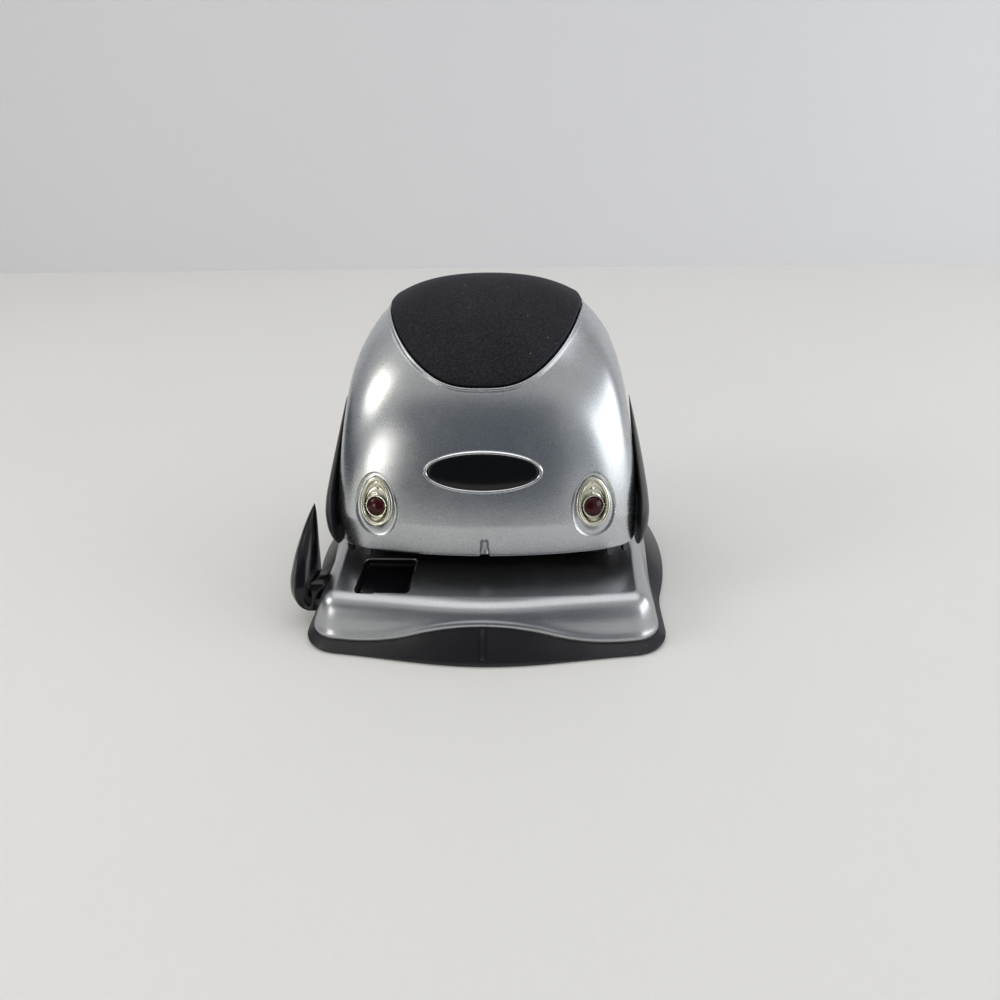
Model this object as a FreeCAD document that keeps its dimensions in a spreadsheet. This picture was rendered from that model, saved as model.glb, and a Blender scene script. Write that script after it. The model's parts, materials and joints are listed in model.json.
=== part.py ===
# Two-hole desk punch with a domed pressed cover, rubber grip pad and chip tray.
# The origin lies on the table, below the midpoint between the two punch pins.
# X runs to the right, Y to the rear and Z up. All sizes are in millimetres.
import FreeCAD, Part
import math
import os
import re

import Sketcher
from FreeCAD import Placement, Rotation, Vector

doc = FreeCAD.newDocument("two_hole_punch")
sheet = doc.addObject("Spreadsheet::Sheet", "dims")

# Driving dimensions
sizes = {
    # punching geometry
    "hole_spacing": 80,
    "pin_diameter": 6,
    "edge_distance": 12,
    "throat_height": 4.5,
    # pressed base plate
    "plate_half_width": 62.7,
    "plate_front": 62.5,
    "plate_rear": 57,
    "plate_bow": 5,
    "plate_corner": 9,
    "plate_top": 19,
    "plate_gauge": 1.2,
    "plate_bend": 7,
    "skirt_low": 5,
    "skirt_high": 13.6,
    "front_wave": 50,
    "side_wave": 37,
    "side_wave_middle": 8,
    # chip tray
    "tray_wall": 1.6,
    "tray_corner_flare": 4.6,
    "tray_front_flare": 8,
    "tray_side_flare": 10.4,
    "tray_gap": 0.3,
    "mark_half_width": 0.7,
    "mark_depth": 0.6,
    # die and frame
    "die_thickness": 3,
    "die_half_depth": 8,
    "frame_gauge": 2,
    "frame_half_width": 48.2,
    "frame_front": 24,
    "frame_wall_top": 34,
    "foot_depth": 12,
    "ear_radius": 6.5,
    "rivet_spacing": 28,
    "rivet_radius": 1.6,
    # lever pivot
    "pivot_y": -16,
    "pivot_z": 38,
    "rod_diameter": 6,
    "hub_radius": 6,
    "arm_thickness": 2.7,
    "arm_inner": 49.2,
    "arm_radius": 11.5,
    "arm_rise": 15.6,
    # pins and springs
    "head_radius": 5.5,
    "head_thickness": 1.5,
    "head_top": 44,
    "pin_retract": 0.4,
    "bush_radius": 4.2,
    "bush_top": 31,
    "wire_diameter": 1.2,
    "coil_radius": 4.9,
    "bar_diameter": 6,
    # domed cover
    "dome_half_width": 55.3,
    "dome_flare": 2.6,
    "flare_height": 50,
    "dome_foot": 28,
    "dome_top": 118,
    "dome_middle": 15,
    "face_depth": 57.8,
    "face_lean": 0.119,
    "rear_depth": 38,
    "dome_bow": 8.5,
    "round_foot": 13,
    "round_top": 3,
    "lip_bottom": 28.5,
    "crease_height": 40.5,
    "cover_gauge": 1.2,
    "body_wall": 2,
    "seam_step": 0.4,
    "seam_gap": 0.4,
    "seam_foot_y": -7,
    "seam_head_y": 14,
    "tail_low_front": 27.5,
    "tail_low_rear": 52,
    "lip_mark_radius": 1.8,
    "lip_mark_depth": 0.8,
    "lip_mark_top": 34.2,
    # grip pad
    "pad_tip": 28.7,
    "pad_corner": 71.3,
    "pad_rear": 46,
    "pad_half_width": 35.8,
    "pad_height": 1.9,
    "pad_tilt": 35,
    "bead_height": 0.9,
    "bead_width": 1.5,
    # badge and eyes
    "badge_half_width": 21.5,
    "badge_half_height": 8,
    "badge_height": 61.5,
    "rim_width": 1.4,
    "eye_height": 50.5,
    "eye_half_width": 6.6,
    "eye_half_height": 9.6,
    "eye_turn": 14,
    "dish_width": 2.4,
    "dish_depth": 1.25,
    "eye_depth": 6,
    "bowl_floor": 1.4,
    "jewel_radius": 3.2,
    "jewel_stem": 2.2,
    # teardrop lock and cap
    "drop_radius": 16,
    "drop_tip_y": 0,
    "drop_tip_z": 77,
    "drop_inner": 58.4,
    "drop_outer": 63,
    # paper guide
    "rule_front": 49,
    "rule_rear": 27.5,
    "rule_bottom": 12,
    "rule_thickness": 2.4,
    "rule_length": 112,
    "channel_wall": 1.4,
    "channel_inner": 12,
    "claw_inner": 66,
    "claw_outer": 75,
    "claw_tip": 42.5,
    "claw_low": 6,
    "claw_foot": 2.7,
    # moulding along the paper throat
    "housing_front": 32,
    "housing_half_width": 43,
    "housing_top": 34,
    "housing_chamfer": 3,
    # format window
    "window_left": 47.2,
    "window_right": 27.2,
    "window_front": 51.2,
    "window_rear": 27,
    "window_corner": 2,
    "bezel_wall": 1.1,
    "bezel_flange": 1.5,
    # fits
    "running_gap": 0.1,
    "side_gap": 0.3,
}


def fillSheet():
    for row, (alias, value) in enumerate(sizes.items(), start=1):
        cell = "A%d" % row
        sheet.set(cell, str(value))
        sheet.setAlias(cell, alias)
    doc.recompute()


fillSheet()


def bound(text):
    """Expression text with every plain size name pointed at the sheet."""
    return re.sub(r"[a-z_]+", lambda hit: "dims." + hit.group() if hit.group() in sizes else hit.group(), text)


def val(text):
    return float(sheet.evalExpression(bound(text)))


def bind(thing, prop, text):
    thing.setExpression(prop, bound(text))


# Sketch and feature helpers
def newBody(name):
    body = doc.addObject("PartDesign::Body", name)
    body.Label = name
    return body


def sketchOn(body, name, plane="XY_Plane", height="0"):
    sketch = body.newObject("Sketcher::SketchObject", name)
    support = next(feature for feature in body.Origin.OriginFeatures if feature.Role == plane)
    sketch.AttachmentSupport = [(support, "")]
    sketch.MapMode = "FlatFace"
    bind(sketch, "AttachmentOffset.Base.z", height)
    return sketch


def fix(sketch, kind, places, text):
    index = sketch.addConstraint(Sketcher.Constraint(kind, *places, val(text)))
    bind(sketch, "Constraints[%d]" % index, text)


def arcBetween(start, end, radius):
    """Arc that bulges to the right of the way from start to end, or to the left for a negative radius."""
    chord = end - start
    side = Vector(chord.y, -chord.x, 0).normalize() * math.copysign(1, radius)
    rise = abs(radius) - math.sqrt(max(radius ** 2 - (chord.Length / 2) ** 2, 0))
    return Part.Arc(start, (start + end) / 2 + side * rise, end)


def outline(sketch, corners):
    """Closed outline through corners given as (x, y), or (x, y, radius) where an arc leaves the corner."""
    spots = [Vector(val(corner[0]), val(corner[1]), 0) for corner in corners]
    first = len(sketch.Geometry)
    ends = []
    for index, corner in enumerate(corners):
        start = spots[index]
        end = spots[(index + 1) % len(spots)]
        if len(corner) == 3:
            sketch.addGeometry(arcBetween(start, end, val(corner[2])), False)
            ends.append((1, 2) if val(corner[2]) > 0 else (2, 1))
        else:
            sketch.addGeometry(Part.LineSegment(start, end), False)
            ends.append((1, 2))
    for index, corner in enumerate(corners):
        following = (index + 1) % len(corners)
        places = (first + index, ends[index][1], first + following, ends[following][0])
        sketch.addConstraint(Sketcher.Constraint("Coincident", *places))
        fix(sketch, "DistanceX", (-1, 1, first + index, ends[index][0]), corner[0])
        fix(sketch, "DistanceY", (-1, 1, first + index, ends[index][0]), corner[1])
        if len(corner) == 3:
            fix(sketch, "Radius", (first + index,), "abs(%s)" % corner[2])


def rectangle(sketch, left, right, low, high):
    outline(sketch, [(left, low), (right, low), (right, high), (left, high)])


def circle(sketch, x, y, radius):
    index = sketch.addGeometry(Part.Circle(Vector(val(x), val(y), 0), Vector(0, 0, 1), val(radius)), False)
    fix(sketch, "Radius", (index,), radius)
    fix(sketch, "DistanceX", (-1, 1, index, 3), x)
    fix(sketch, "DistanceY", (-1, 1, index, 3), y)


def extrude(kind, sketch, length, middle):
    body = sketch.getParentGeoFeatureGroup()
    feature = body.newObject("PartDesign::" + kind, sketch.Name + "_" + kind.lower())
    feature.Profile = sketch
    bind(feature, "Length", length)
    feature.Midplane = middle
    doc.recompute()
    return feature


def pad(sketch, length, middle=False):
    return extrude("Pad", sketch, length, middle)


def cut(sketch, length):
    """Pocket that reaches half its length to each side of the sketch."""
    return extrude("Pocket", sketch, length, True)


def edgesWhere(feature, test):
    return ["Edge%d" % number for number, edge in enumerate(feature.Shape.Edges, start=1) if test(edge)]


def roundEdges(body, feature, test, radius):
    fillet = body.newObject("PartDesign::Fillet", feature.Name + "_round")
    fillet.Base = (feature, edgesWhere(feature, test))
    bind(fillet, "Radius", radius)
    doc.recompute()
    return fillet


def upright(edge):
    return abs(edge.Vertexes[0].X - edge.Vertexes[-1].X) + abs(edge.Vertexes[0].Y - edge.Vertexes[-1].Y) < 0.001


def solidPart(name, shape):
    """Sub-part whose form comes from surfaces that sketches can't hold."""
    feature = doc.addObject("Part::Feature", name)
    feature.Label = name
    feature.Shape = shape
    return feature


def prism(corners, start, end, axis):
    """Straight prism over a polygon of sheet expressions in the YZ plane ('x') or the XZ plane ('y')."""
    low = val(start)
    reach = val(end) - low
    spots = [(val(first), val(second)) for first, second in corners]
    if axis == "x":
        points = [Vector(low, first, second) for first, second in spots]
        path = Vector(reach, 0, 0)
    else:
        points = [Vector(first, low, second) for first, second in spots]
        path = Vector(0, reach, 0)
    return Part.Face(Part.makePolygon(points + points[:1])).extrude(path)


def rod(start, end, radius):
    path = end - start
    return Part.makeCylinder(radius, path.Length, start, path)


# Heights that several pieces share
throatRoof = "plate_top + throat_height"
webTop = "plate_top + throat_height + frame_gauge"
plateUnder = "plate_top - plate_gauge"
dieUnder = "plate_top - plate_gauge - die_thickness"
bowRadius = "(plate_half_width^2 + plate_bow^2) / (2 * plate_bow)"
barHeight = "head_top + side_gap + bar_diameter / 2"
rivetRow = "edge_distance + frame_gauge + foot_depth / 2"
rivetPlaces = ["-rivet_spacing * 1.5", "-rivet_spacing / 2", "rivet_spacing / 2", "rivet_spacing * 1.5"]


# Base plate, pressed from sheet, with a wavy lower edge
def waveRadius(halfLength):
    return "((%s / 2)^2 + ((skirt_high - skirt_low) / 2)^2) / (skirt_high - skirt_low)" % halfLength


def waveOutline(sketch, middle, halfLength):
    """Cut-out under the skirt: four tangent arcs from the low edge up to the crown and down again."""
    halfRise = "(skirt_low + skirt_high) / 2"
    radius = waveRadius(halfLength)
    corners = [
        ("%s - %s" % (middle, halfLength), "skirt_low", radius),
        ("%s - %s / 2" % (middle, halfLength), halfRise, "-(%s)" % radius),
        ("%s + %s / 2" % (middle, halfLength), halfRise, radius),
        ("%s + %s" % (middle, halfLength), "skirt_low"),
        ("%s + %s" % (middle, halfLength), "0"),
        ("%s - %s" % (middle, halfLength), "0"),
    ]
    outline(sketch, corners)


def basePlate():
    body = newBody("base_plate")
    plan = sketchOn(body, "plate_plan", height="skirt_low")
    frontCorner = "-(plate_front - plate_bow)"
    rearCorner = "plate_rear - plate_bow"
    corners = [
        ("-plate_half_width", frontCorner, bowRadius),
        ("plate_half_width", frontCorner),
        ("plate_half_width", rearCorner, bowRadius),
        ("-plate_half_width", rearCorner),
    ]
    outline(plan, corners)
    block = pad(plan, "plate_top - skirt_low")
    cornered = roundEdges(body, block, upright, "plate_corner")
    top = val("plate_top")
    bent = roundEdges(body, cornered, lambda edge: edge.BoundBox.ZMin > top - 0.01, "plate_bend")
    hollow = body.newObject("PartDesign::Thickness", "plate_hollow")
    faces = bent.Shape.Faces
    under = [n for n, face in enumerate(faces, start=1) if face.BoundBox.ZMax < val("skirt_low") + 0.01]
    hollow.Base = (bent, ["Face%d" % under[0]])
    bind(hollow, "Value", "plate_gauge")
    hollow.Reversed = True
    doc.recompute()
    ends = sketchOn(body, "front_and_rear_wave", "XZ_Plane")
    waveOutline(ends, "0", "front_wave")
    cut(ends, "4 * plate_front")
    sides = sketchOn(body, "side_wave_cut", "YZ_Plane")
    waveOutline(sides, "side_wave_middle", "side_wave")
    cut(sides, "4 * plate_half_width")
    slot = sketchOn(body, "guide_slot", "YZ_Plane", "-plate_half_width")
    rectangle(slot, "-rule_front - side_gap", "-rule_rear + side_gap",
              "rule_bottom - side_gap", "rule_bottom + rule_thickness + side_gap")
    cut(slot, "4 * plate_gauge")
    window = sketchOn(body, "window_opening", height="plate_top")
    rectangle(window, "-window_left", "-window_right", "-window_front", "-window_rear")
    opened = cut(window, "4 * plate_gauge")
    roundEdges(body, opened, lambda edge: upright(edge) and inWindow(edge), "window_corner")
    holes = sketchOn(body, "die_and_rivet_holes", height="plate_top")
    for side in (-1, 1):
        circle(holes, "%d * hole_spacing / 2" % side, "0", "pin_diameter / 2 + 2 * running_gap")
    for across in rivetPlaces:
        circle(holes, across, rivetRow, "rivet_radius")
    cut(holes, "4 * plate_gauge")
    return body


def inWindow(edge):
    spot = edge.BoundBox.Center
    across = -val("window_left") - 1 < spot.x < -val("window_right") + 1
    along = -val("window_front") - 1 < spot.y < -val("window_rear") + 1
    return across and along


# Die plate under the base plate, with the two die holes
def diePlate():
    body = newBody("die_plate")
    plan = sketchOn(body, "die_plan", height=dieUnder)
    rectangle(plan, "-frame_half_width", "frame_half_width", "-die_half_depth", "die_half_depth")
    pad(plan, "die_thickness")
    holes = sketchOn(body, "die_holes", height=dieUnder)
    for side in (-1, 1):
        circle(holes, "%d * hole_spacing / 2" % side, "0", "pin_diameter / 2 + running_gap")
    cut(holes, "4 * die_thickness")


# Pressed frame: foot, rear wall that stops the paper, web that guides the pins, and two ears
def punchFrame():
    body = newBody("punch_frame")
    ears = sketchOn(body, "ear_profile", "YZ_Plane")
    corners = [
        ("pivot_y - ear_radius", throatRoof),
        ("edge_distance / 3", throatRoof),
        ("pivot_y + ear_radius", "pivot_z", "ear_radius"),
        ("pivot_y", "pivot_z + ear_radius", "ear_radius"),
        ("pivot_y - ear_radius", "pivot_z"),
    ]
    outline(ears, corners)
    pad(ears, "2 * frame_half_width", True)
    between = sketchOn(body, "between_ears", "YZ_Plane")
    rectangle(between, "-2 * frame_front", "2 * frame_front", "0", "pivot_z + 2 * ear_radius")
    cut(between, "2 * (frame_half_width - frame_gauge)")
    sheetLine = sketchOn(body, "web_wall_and_foot", "YZ_Plane")
    wallBack = "edge_distance + frame_gauge"
    corners = [
        ("-frame_front", throatRoof),
        ("edge_distance", throatRoof),
        ("edge_distance", "plate_top"),
        (wallBack + " + foot_depth", "plate_top"),
        (wallBack + " + foot_depth", "plate_top + frame_gauge"),
        (wallBack, "plate_top + frame_gauge"),
        (wallBack, "frame_wall_top"),
        ("edge_distance", "frame_wall_top"),
        ("edge_distance", webTop),
        ("-frame_front", webTop),
    ]
    outline(sheetLine, corners)
    pad(sheetLine, "2 * frame_half_width", True)
    bore = sketchOn(body, "rod_bore", "YZ_Plane")
    circle(bore, "pivot_y", "pivot_z", "rod_diameter / 2 + running_gap / 2")
    cut(bore, "4 * frame_half_width")
    seats = sketchOn(body, "bush_seats", height=webTop)
    for side in (-1, 1):
        circle(seats, "%d * hole_spacing / 2" % side, "0", "bush_radius + running_gap / 2")
    cut(seats, "2 * frame_gauge + throat_height")
    rivets = sketchOn(body, "rivet_holes", height="plate_top + frame_gauge")
    for across in rivetPlaces:
        circle(rivets, across, rivetRow, "rivet_radius + running_gap / 2")
    cut(rivets, "3 * frame_gauge")


def frameRivets():
    """Four round-headed rivets through the frame's foot and the base plate."""
    solids = []
    for across in rivetPlaces:
        x = val(across)
        y = val(rivetRow)
        shankLow = val(plateUnder) - val("frame_gauge") / 2
        headLow = val("plate_top + frame_gauge")
        shank = rod(Vector(x, y, shankLow), Vector(x, y, headLow), val("rivet_radius"))
        tail = rod(Vector(x, y, shankLow), Vector(x, y, val(plateUnder)), val("rivet_radius") * 1.7)
        ball = Part.makeSphere(val("rivet_radius") * 2, Vector(x, y, headLow - val("rivet_radius") / 2))
        above = Part.makeBox(9, 9, 9, Vector(x - 4.5, y - 4.5, headLow))
        solids.append(shank.fuse([tail, ball.common(above)]))
    solidPart("frame_rivets", Part.makeCompound(solids))


# Punch pins with flanged heads, their guide bushes and return springs
def pinGuide(name, side):
    body = newBody(name)
    ring = sketchOn(body, name + "_ring", height=throatRoof)
    circle(ring, "0", "0", "bush_radius")
    pad(ring, "bush_top - (%s)" % throatRoof)
    collar = sketchOn(body, name + "_collar", height=webTop)
    circle(collar, "0", "0", "coil_radius + wire_diameter / 2")
    pad(collar, "frame_gauge / 2")
    bore = sketchOn(body, name + "_bore", height=webTop)
    circle(bore, "0", "0", "pin_diameter / 2 + running_gap")
    cut(bore, "2 * head_top")
    bind(body, "Placement.Base.x", "%d * hole_spacing / 2" % side)


def punchPin(name, side):
    body = newBody(name)
    tipHeight = "%s + pin_retract" % throatRoof
    shank = sketchOn(body, name + "_shank", height=tipHeight)
    circle(shank, "0", "0", "pin_diameter / 2")
    pad(shank, "head_top - (%s)" % tipHeight)
    head = sketchOn(body, name + "_head", height="head_top - head_thickness")
    circle(head, "0", "0", "head_radius")
    pad(head, "head_thickness")
    notch = sketchOn(body, name + "_cutting_notch", "YZ_Plane")
    corners = [
        ("-pin_diameter", tipHeight + " - pin_diameter / 4"),
        ("pin_diameter", tipHeight + " - pin_diameter / 4"),
        ("0", tipHeight + " + pin_diameter / 4"),
    ]
    outline(notch, corners)
    cut(notch, "2 * pin_diameter")
    bind(body, "Placement.Base.x", "%d * hole_spacing / 2" % side)


def returnSpring(name, side):
    """Compression spring between the bush collar and the pin head."""
    wire = val("wire_diameter") / 2
    low = val(webTop) + val("frame_gauge") / 2 + wire + val("running_gap")
    high = val("head_top - head_thickness") - wire - val("running_gap")
    outside = Part.makeCylinder(val("coil_radius") + wire, high - low + 2 * wire)
    spring = solidPart(name, outside.cut(Part.makeCylinder(val("coil_radius") - wire, high - low + 2 * wire)))
    spring.Placement = Placement(Vector(side * val("hole_spacing") / 2, 0, low - wire), Rotation())


# Pivot rod through the ears, with a teardrop on each end
def pivotRod():
    tube = doc.addObject("Part::Cylinder", "pivot_rod")
    tube.Label = "pivot_rod"
    bind(tube, "Radius", "rod_diameter / 2")
    bind(tube, "Height", "2 * (drop_outer - 2 * plate_gauge)")
    tube.Placement = Placement(Vector(0, 0, 0), Rotation(Vector(0, 1, 0), 90))
    bind(tube, "Placement.Base.x", "-(drop_outer - 2 * plate_gauge)")
    bind(tube, "Placement.Base.y", "pivot_y")
    bind(tube, "Placement.Base.z", "pivot_z")


def dropWire(across, radius, reach):
    """Teardrop outline at one distance from the middle: a round end and two tangents to the tip."""
    centre = Vector(across, val("pivot_y"), val("pivot_z"))
    toTip = Vector(0, val("drop_tip_y - pivot_y"), val("drop_tip_z - pivot_z")).normalize()
    lean = math.acos(radius / reach)
    turn = lambda angle: Rotation(Vector(1, 0, 0), math.degrees(angle)).multVec(toTip)
    left = centre + turn(lean) * radius
    right = centre + turn(-lean) * radius
    bottom = centre - toTip * radius
    tip = centre + toTip * reach
    roundEnd = Part.Arc(left, bottom, right).toShape()
    return Part.Wire([roundEnd, Part.makeLine(right, tip), Part.makeLine(tip, left)])


def teardrop(name, side, boreGap):
    """Domed teardrop with a hub that reaches in to the frame and turns on the pivot rod."""
    full = Vector(0, val("drop_tip_y - pivot_y"), val("drop_tip_z - pivot_z")).Length
    inner = val("drop_inner")
    rise = val("drop_outer") - inner
    wires = []
    for level in (0, 0.3, 0.62, 0.86, 1):
        radius = val("drop_radius") * (1 - 0.62 * level ** 3)
        reach = max(full * (1 - 0.8 * level), radius * 1.04)
        wires.append(dropWire(side * (inner + rise * level), radius, reach))
    shell = Part.makeLoft(wires, True, True)
    pivot = lambda across: Vector(side * across, val("pivot_y"), val("pivot_z"))
    hub = rod(pivot(val("arm_inner")), pivot(inner), val("hub_radius"))
    boreEnd = val("drop_outer - 2 * plate_gauge + running_gap")
    bore = rod(pivot(0), pivot(boreEnd), val("rod_diameter") / 2 + boreGap)
    solidPart(name, shell.fuse(hub).cut(bore))


# Dome of the lever: one family of level outlines shared by cover, rear body, pad, beads and rims
def rounded(share, power, root):
    return (1 - share ** power) ** (1 / root)


def levelWire(height, grow):
    """Level outline of the dome, pushed out by grow: a bowed front, full corners and a rounder rear."""
    top = val("dome_top") + grow
    share = (height - val("dome_foot")) / (top - val("dome_foot"))
    flare = val("dome_flare") * (1 - min((height - val("dome_foot")) / val("flare_height"), 1) ** 2) ** 2
    half = (val("dome_half_width") + flare + grow) * rounded(share, 4.2, 2.4)
    front = (val("face_depth") + grow - val("face_lean") * (height - val("dome_foot"))) * rounded(share, 3.5, 2)
    rear = (val("rear_depth") + grow) * rounded(share, 3.5, 2)
    corner = val("round_top") + (val("round_foot") - val("round_top")) * (1 - share) ** 1.5
    points = []
    for step in range(32):
        angle = 2 * math.pi * (step + 0.5) / 32
        depth = front if math.sin(angle) < 0 else rear
        power = corner if math.sin(angle) < 0 else min(corner, 4)
        reach = (abs(math.cos(angle) / half) ** power + abs(math.sin(angle) / depth) ** power) ** (-1 / power)
        x = reach * math.cos(angle)
        bow = val("dome_bow") * (x / half) ** 2 * half / val("dome_half_width")
        y = reach * math.sin(angle) * (1 - bow / depth)
        points.append(Vector(x, val("dome_middle") + y, height))
    curve = Part.BSplineCurve()
    curve.interpolate(Points=points, PeriodicFlag=True)
    return Part.Wire(curve.toShape())


domeCache = {}


def dome(grow, low):
    """Solid dome pushed out by grow, with an upright band from the crease down to low."""
    key = (grow, low)
    if key not in domeCache:
        crease = val("crease_height")
        rise = val("dome_top") + grow - val("dome_foot")
        start = math.asin((crease - val("dome_foot")) / rise)
        steps = 8
        angles = [start + (math.radians(87) - start) * step / steps for step in range(steps + 1)]
        levels = [val("dome_foot") + rise * math.sin(angle) for angle in angles]
        wires = [levelWire(level, grow) for level in levels]
        upper = Part.makeLoft(wires, True, False)
        band = Part.Face(wires[0]).extrude(Vector(0, 0, low - crease))
        domeCache[key] = upper.fuse(band)
    return domeCache[key].copy()


def faceY(x, height, grow=0):
    """Where the dome's front lies at one width and height."""
    line = Part.makeLine(Vector(x, val("dome_middle"), height), Vector(x, -200, height))
    hit = dome(grow, val("lip_bottom")).common(line)
    return hit.BoundBox.YMin


def seamSolid(shift):
    """Everything in front of the seam between cover and rear body, moved back by shift."""
    low = Vector(-100, val("seam_foot_y") + shift, 0)
    middle = Vector(-100, val("drop_tip_y") - 0.5 + shift, val("drop_tip_z"))
    high = Vector(-100, val("seam_head_y") + shift, val("dome_top") + 12)
    front = [Vector(-100, -150, high.z), Vector(-100, -150, low.z)]
    edges = [
        Part.Arc(low, middle, high).toShape(),
        Part.makeLine(high, front[0]),
        Part.makeLine(front[0], front[1]),
        Part.makeLine(front[1], low),
    ]
    return Part.Face(Part.Wire(edges)).extrude(Vector(200, 0, 0))


def padPrism(grow):
    """Prisms over the grip pad's outline, pushed out by grow: its front across the face, its rear upright."""
    half = val("pad_half_width") + grow
    tip = val("pad_tip") - grow
    corner = val("pad_corner")
    top = val("dome_top")
    tilt = Rotation(Vector(1, 0, 0), val("pad_tilt"))
    along = tilt.multVec(Vector(0, 0, 1))
    front = []
    for step in range(-8, 9):
        x = half * math.sin(math.pi / 2 * step / 8)
        front.append(Vector(x, tip + (corner - tip) * (abs(x) / half) ** 2.6, 0))
    edge = Part.BSplineCurve()
    edge.interpolate(Points=front)
    face = Part.Face(Part.Wire([edge.toShape(), Part.makeLine(front[-1], front[0])]))
    face.Placement = Placement(along * top / 3, tilt)
    start = (corner - top * math.sin(math.radians(val("pad_tilt")))) / math.cos(math.radians(val("pad_tilt")))
    rear = val("pad_rear") + grow
    back = []
    for step in range(-8, 9):
        angle = math.pi / 2 * step / 8
        back.append(Vector(half * math.sin(angle), start + 4 + (rear - start - 4) * math.cos(angle) ** 0.8, 0))
    edge = Part.BSplineCurve()
    edge.interpolate(Points=back)
    wide = back[-1].x * 0.97
    ends = [back[-1], Vector(wide, start, 0), Vector(-wide, start, 0), back[0]]
    lines = [Part.makeLine(ends[index], ends[index + 1]) for index in range(3)]
    rearFace = Part.Face(Part.Wire([edge.toShape()] + lines))
    rearFace.translate(Vector(0, 0, top * 0.55))
    return face.extrude(along * top).fuse(rearFace.extrude(Vector(0, 0, top)))


def eggFace(grow, lift):
    """Egg outline of a headlight in its own plane, fuller at the bottom."""
    points = []
    for step in range(16):
        angle = 2 * math.pi * step / 16
        swell = 1 - 0.13 * math.sin(angle)
        x = (val("eye_half_width") + grow) * math.cos(angle) * swell
        points.append(Vector(x, (val("eye_half_height") + grow) * math.sin(angle), lift))
    curve = Part.BSplineCurve()
    curve.interpolate(Points=points, PeriodicFlag=True)
    return Part.Face(Part.Wire(curve.toShape()))


def facePlace(x, height, sideways=0):
    """Placement on the leaning front, with its own Z pointing out of the face."""
    upward = math.degrees(math.atan(2.1 * val("face_lean")))
    turn = Rotation(Vector(0, 0, 1), sideways).multiply(Rotation(Vector(1, 0, 0), 90 - upward))
    return Placement(Vector(x, faceY(x, height), height), turn)


def placed(shape, place):
    shape.Placement = place.multiply(shape.Placement)
    return shape


def eyePlace(side):
    return facePlace(side * val("hole_spacing") / 2, val("eye_height"), side * val("eye_turn"))


def eyePrism(side, grow, low, high):
    face = eggFace(grow, low)
    return placed(face.extrude(Vector(0, 0, high - low)), eyePlace(side))


def eyeDish(side):
    """Funnel between the skin and the sunk edge of a headlight."""
    slope = val("dish_width") / val("dish_depth")
    rise = 2 * val("dish_depth")
    wide = Part.Wire(eggFace(slope * (rise + val("dish_depth")), rise).OuterWire)
    narrow = Part.Wire(eggFace(0, -val("dish_depth")).OuterWire)
    return placed(Part.makeLoft([wide, narrow], True, True), eyePlace(side))


def ovalPrism(halfWidth, halfHeight, low, high):
    oval = Part.Ellipse(Vector(0, 0, low), halfWidth, halfHeight).toShape()
    solid = Part.Face(Part.Wire(oval)).extrude(Vector(0, 0, high - low))
    return placed(solid, facePlace(0, val("badge_height")))


def leverCover():
    """Pressed silver front of the lever, with a dish for each headlight, pad bead and the mark in its lip."""
    lip = val("lip_bottom")
    outer = dome(0, lip)
    shell = outer.cut(dome(-val("cover_gauge"), lip - 1))
    backing = dome(-val("cover_gauge") / 2, lip).cut(dome(-val("cover_gauge + dish_depth"), lip))
    for side in (-1, 1):
        shell = shell.fuse(eyePrism(side, val("dish_width"), -6, 2).common(backing))
        shell = shell.cut(eyeDish(side))
    bead = dome(val("bead_height"), lip).cut(dome(-val("cover_gauge") / 2, lip))
    bead = bead.common(padPrism(val("seam_gap") + val("bead_width")))
    shell = shell.fuse(bead.cut(padPrism(val("seam_gap"))))
    shell = shell.common(seamSolid(0))
    for side in (-1, 1):
        shell = shell.cut(eyePrism(side, 0, -8, 8))
    pivot = [Vector(reach, val("pivot_y"), val("pivot_z")) for reach in (-100, 100)]
    shell = shell.cut(rod(pivot[0], pivot[1], val("hub_radius") + 1.5))
    radius = val("lip_mark_radius")
    front = faceY(0, val("lip_mark_top")) + val("lip_mark_depth") - radius
    mark = [Vector(0, front, height) for height in (lip - radius, val("lip_mark_top"))]
    shell = shell.cut(rod(mark[0], mark[1], radius)).cut(Part.makeSphere(radius, mark[1]))
    solidPart("lever_cover", shell.removeSplitter())


def gripPad():
    skin = dome(val("pad_height"), val("lip_bottom")).cut(dome(val("running_gap"), val("lip_bottom")))
    solidPart("grip_pad", skin.common(padPrism(0)))


def badge():
    halfWidth = val("badge_half_width")
    halfHeight = val("badge_half_height")
    edge = val("rim_width")
    inner = dome(val("running_gap"), val("lip_bottom"))
    rim = ovalPrism(halfWidth, halfHeight, -4, 4).cut(ovalPrism(halfWidth - edge, halfHeight - edge, -5, 5))
    solidPart("badge_rim", rim.common(dome(1.8, val("lip_bottom")).cut(inner)))
    gap = edge + val("running_gap")
    plate = ovalPrism(halfWidth - gap, halfHeight - gap, -4, 4)
    solidPart("badge_plate", plate.common(dome(1.1, val("lip_bottom")).cut(inner)))


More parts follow.
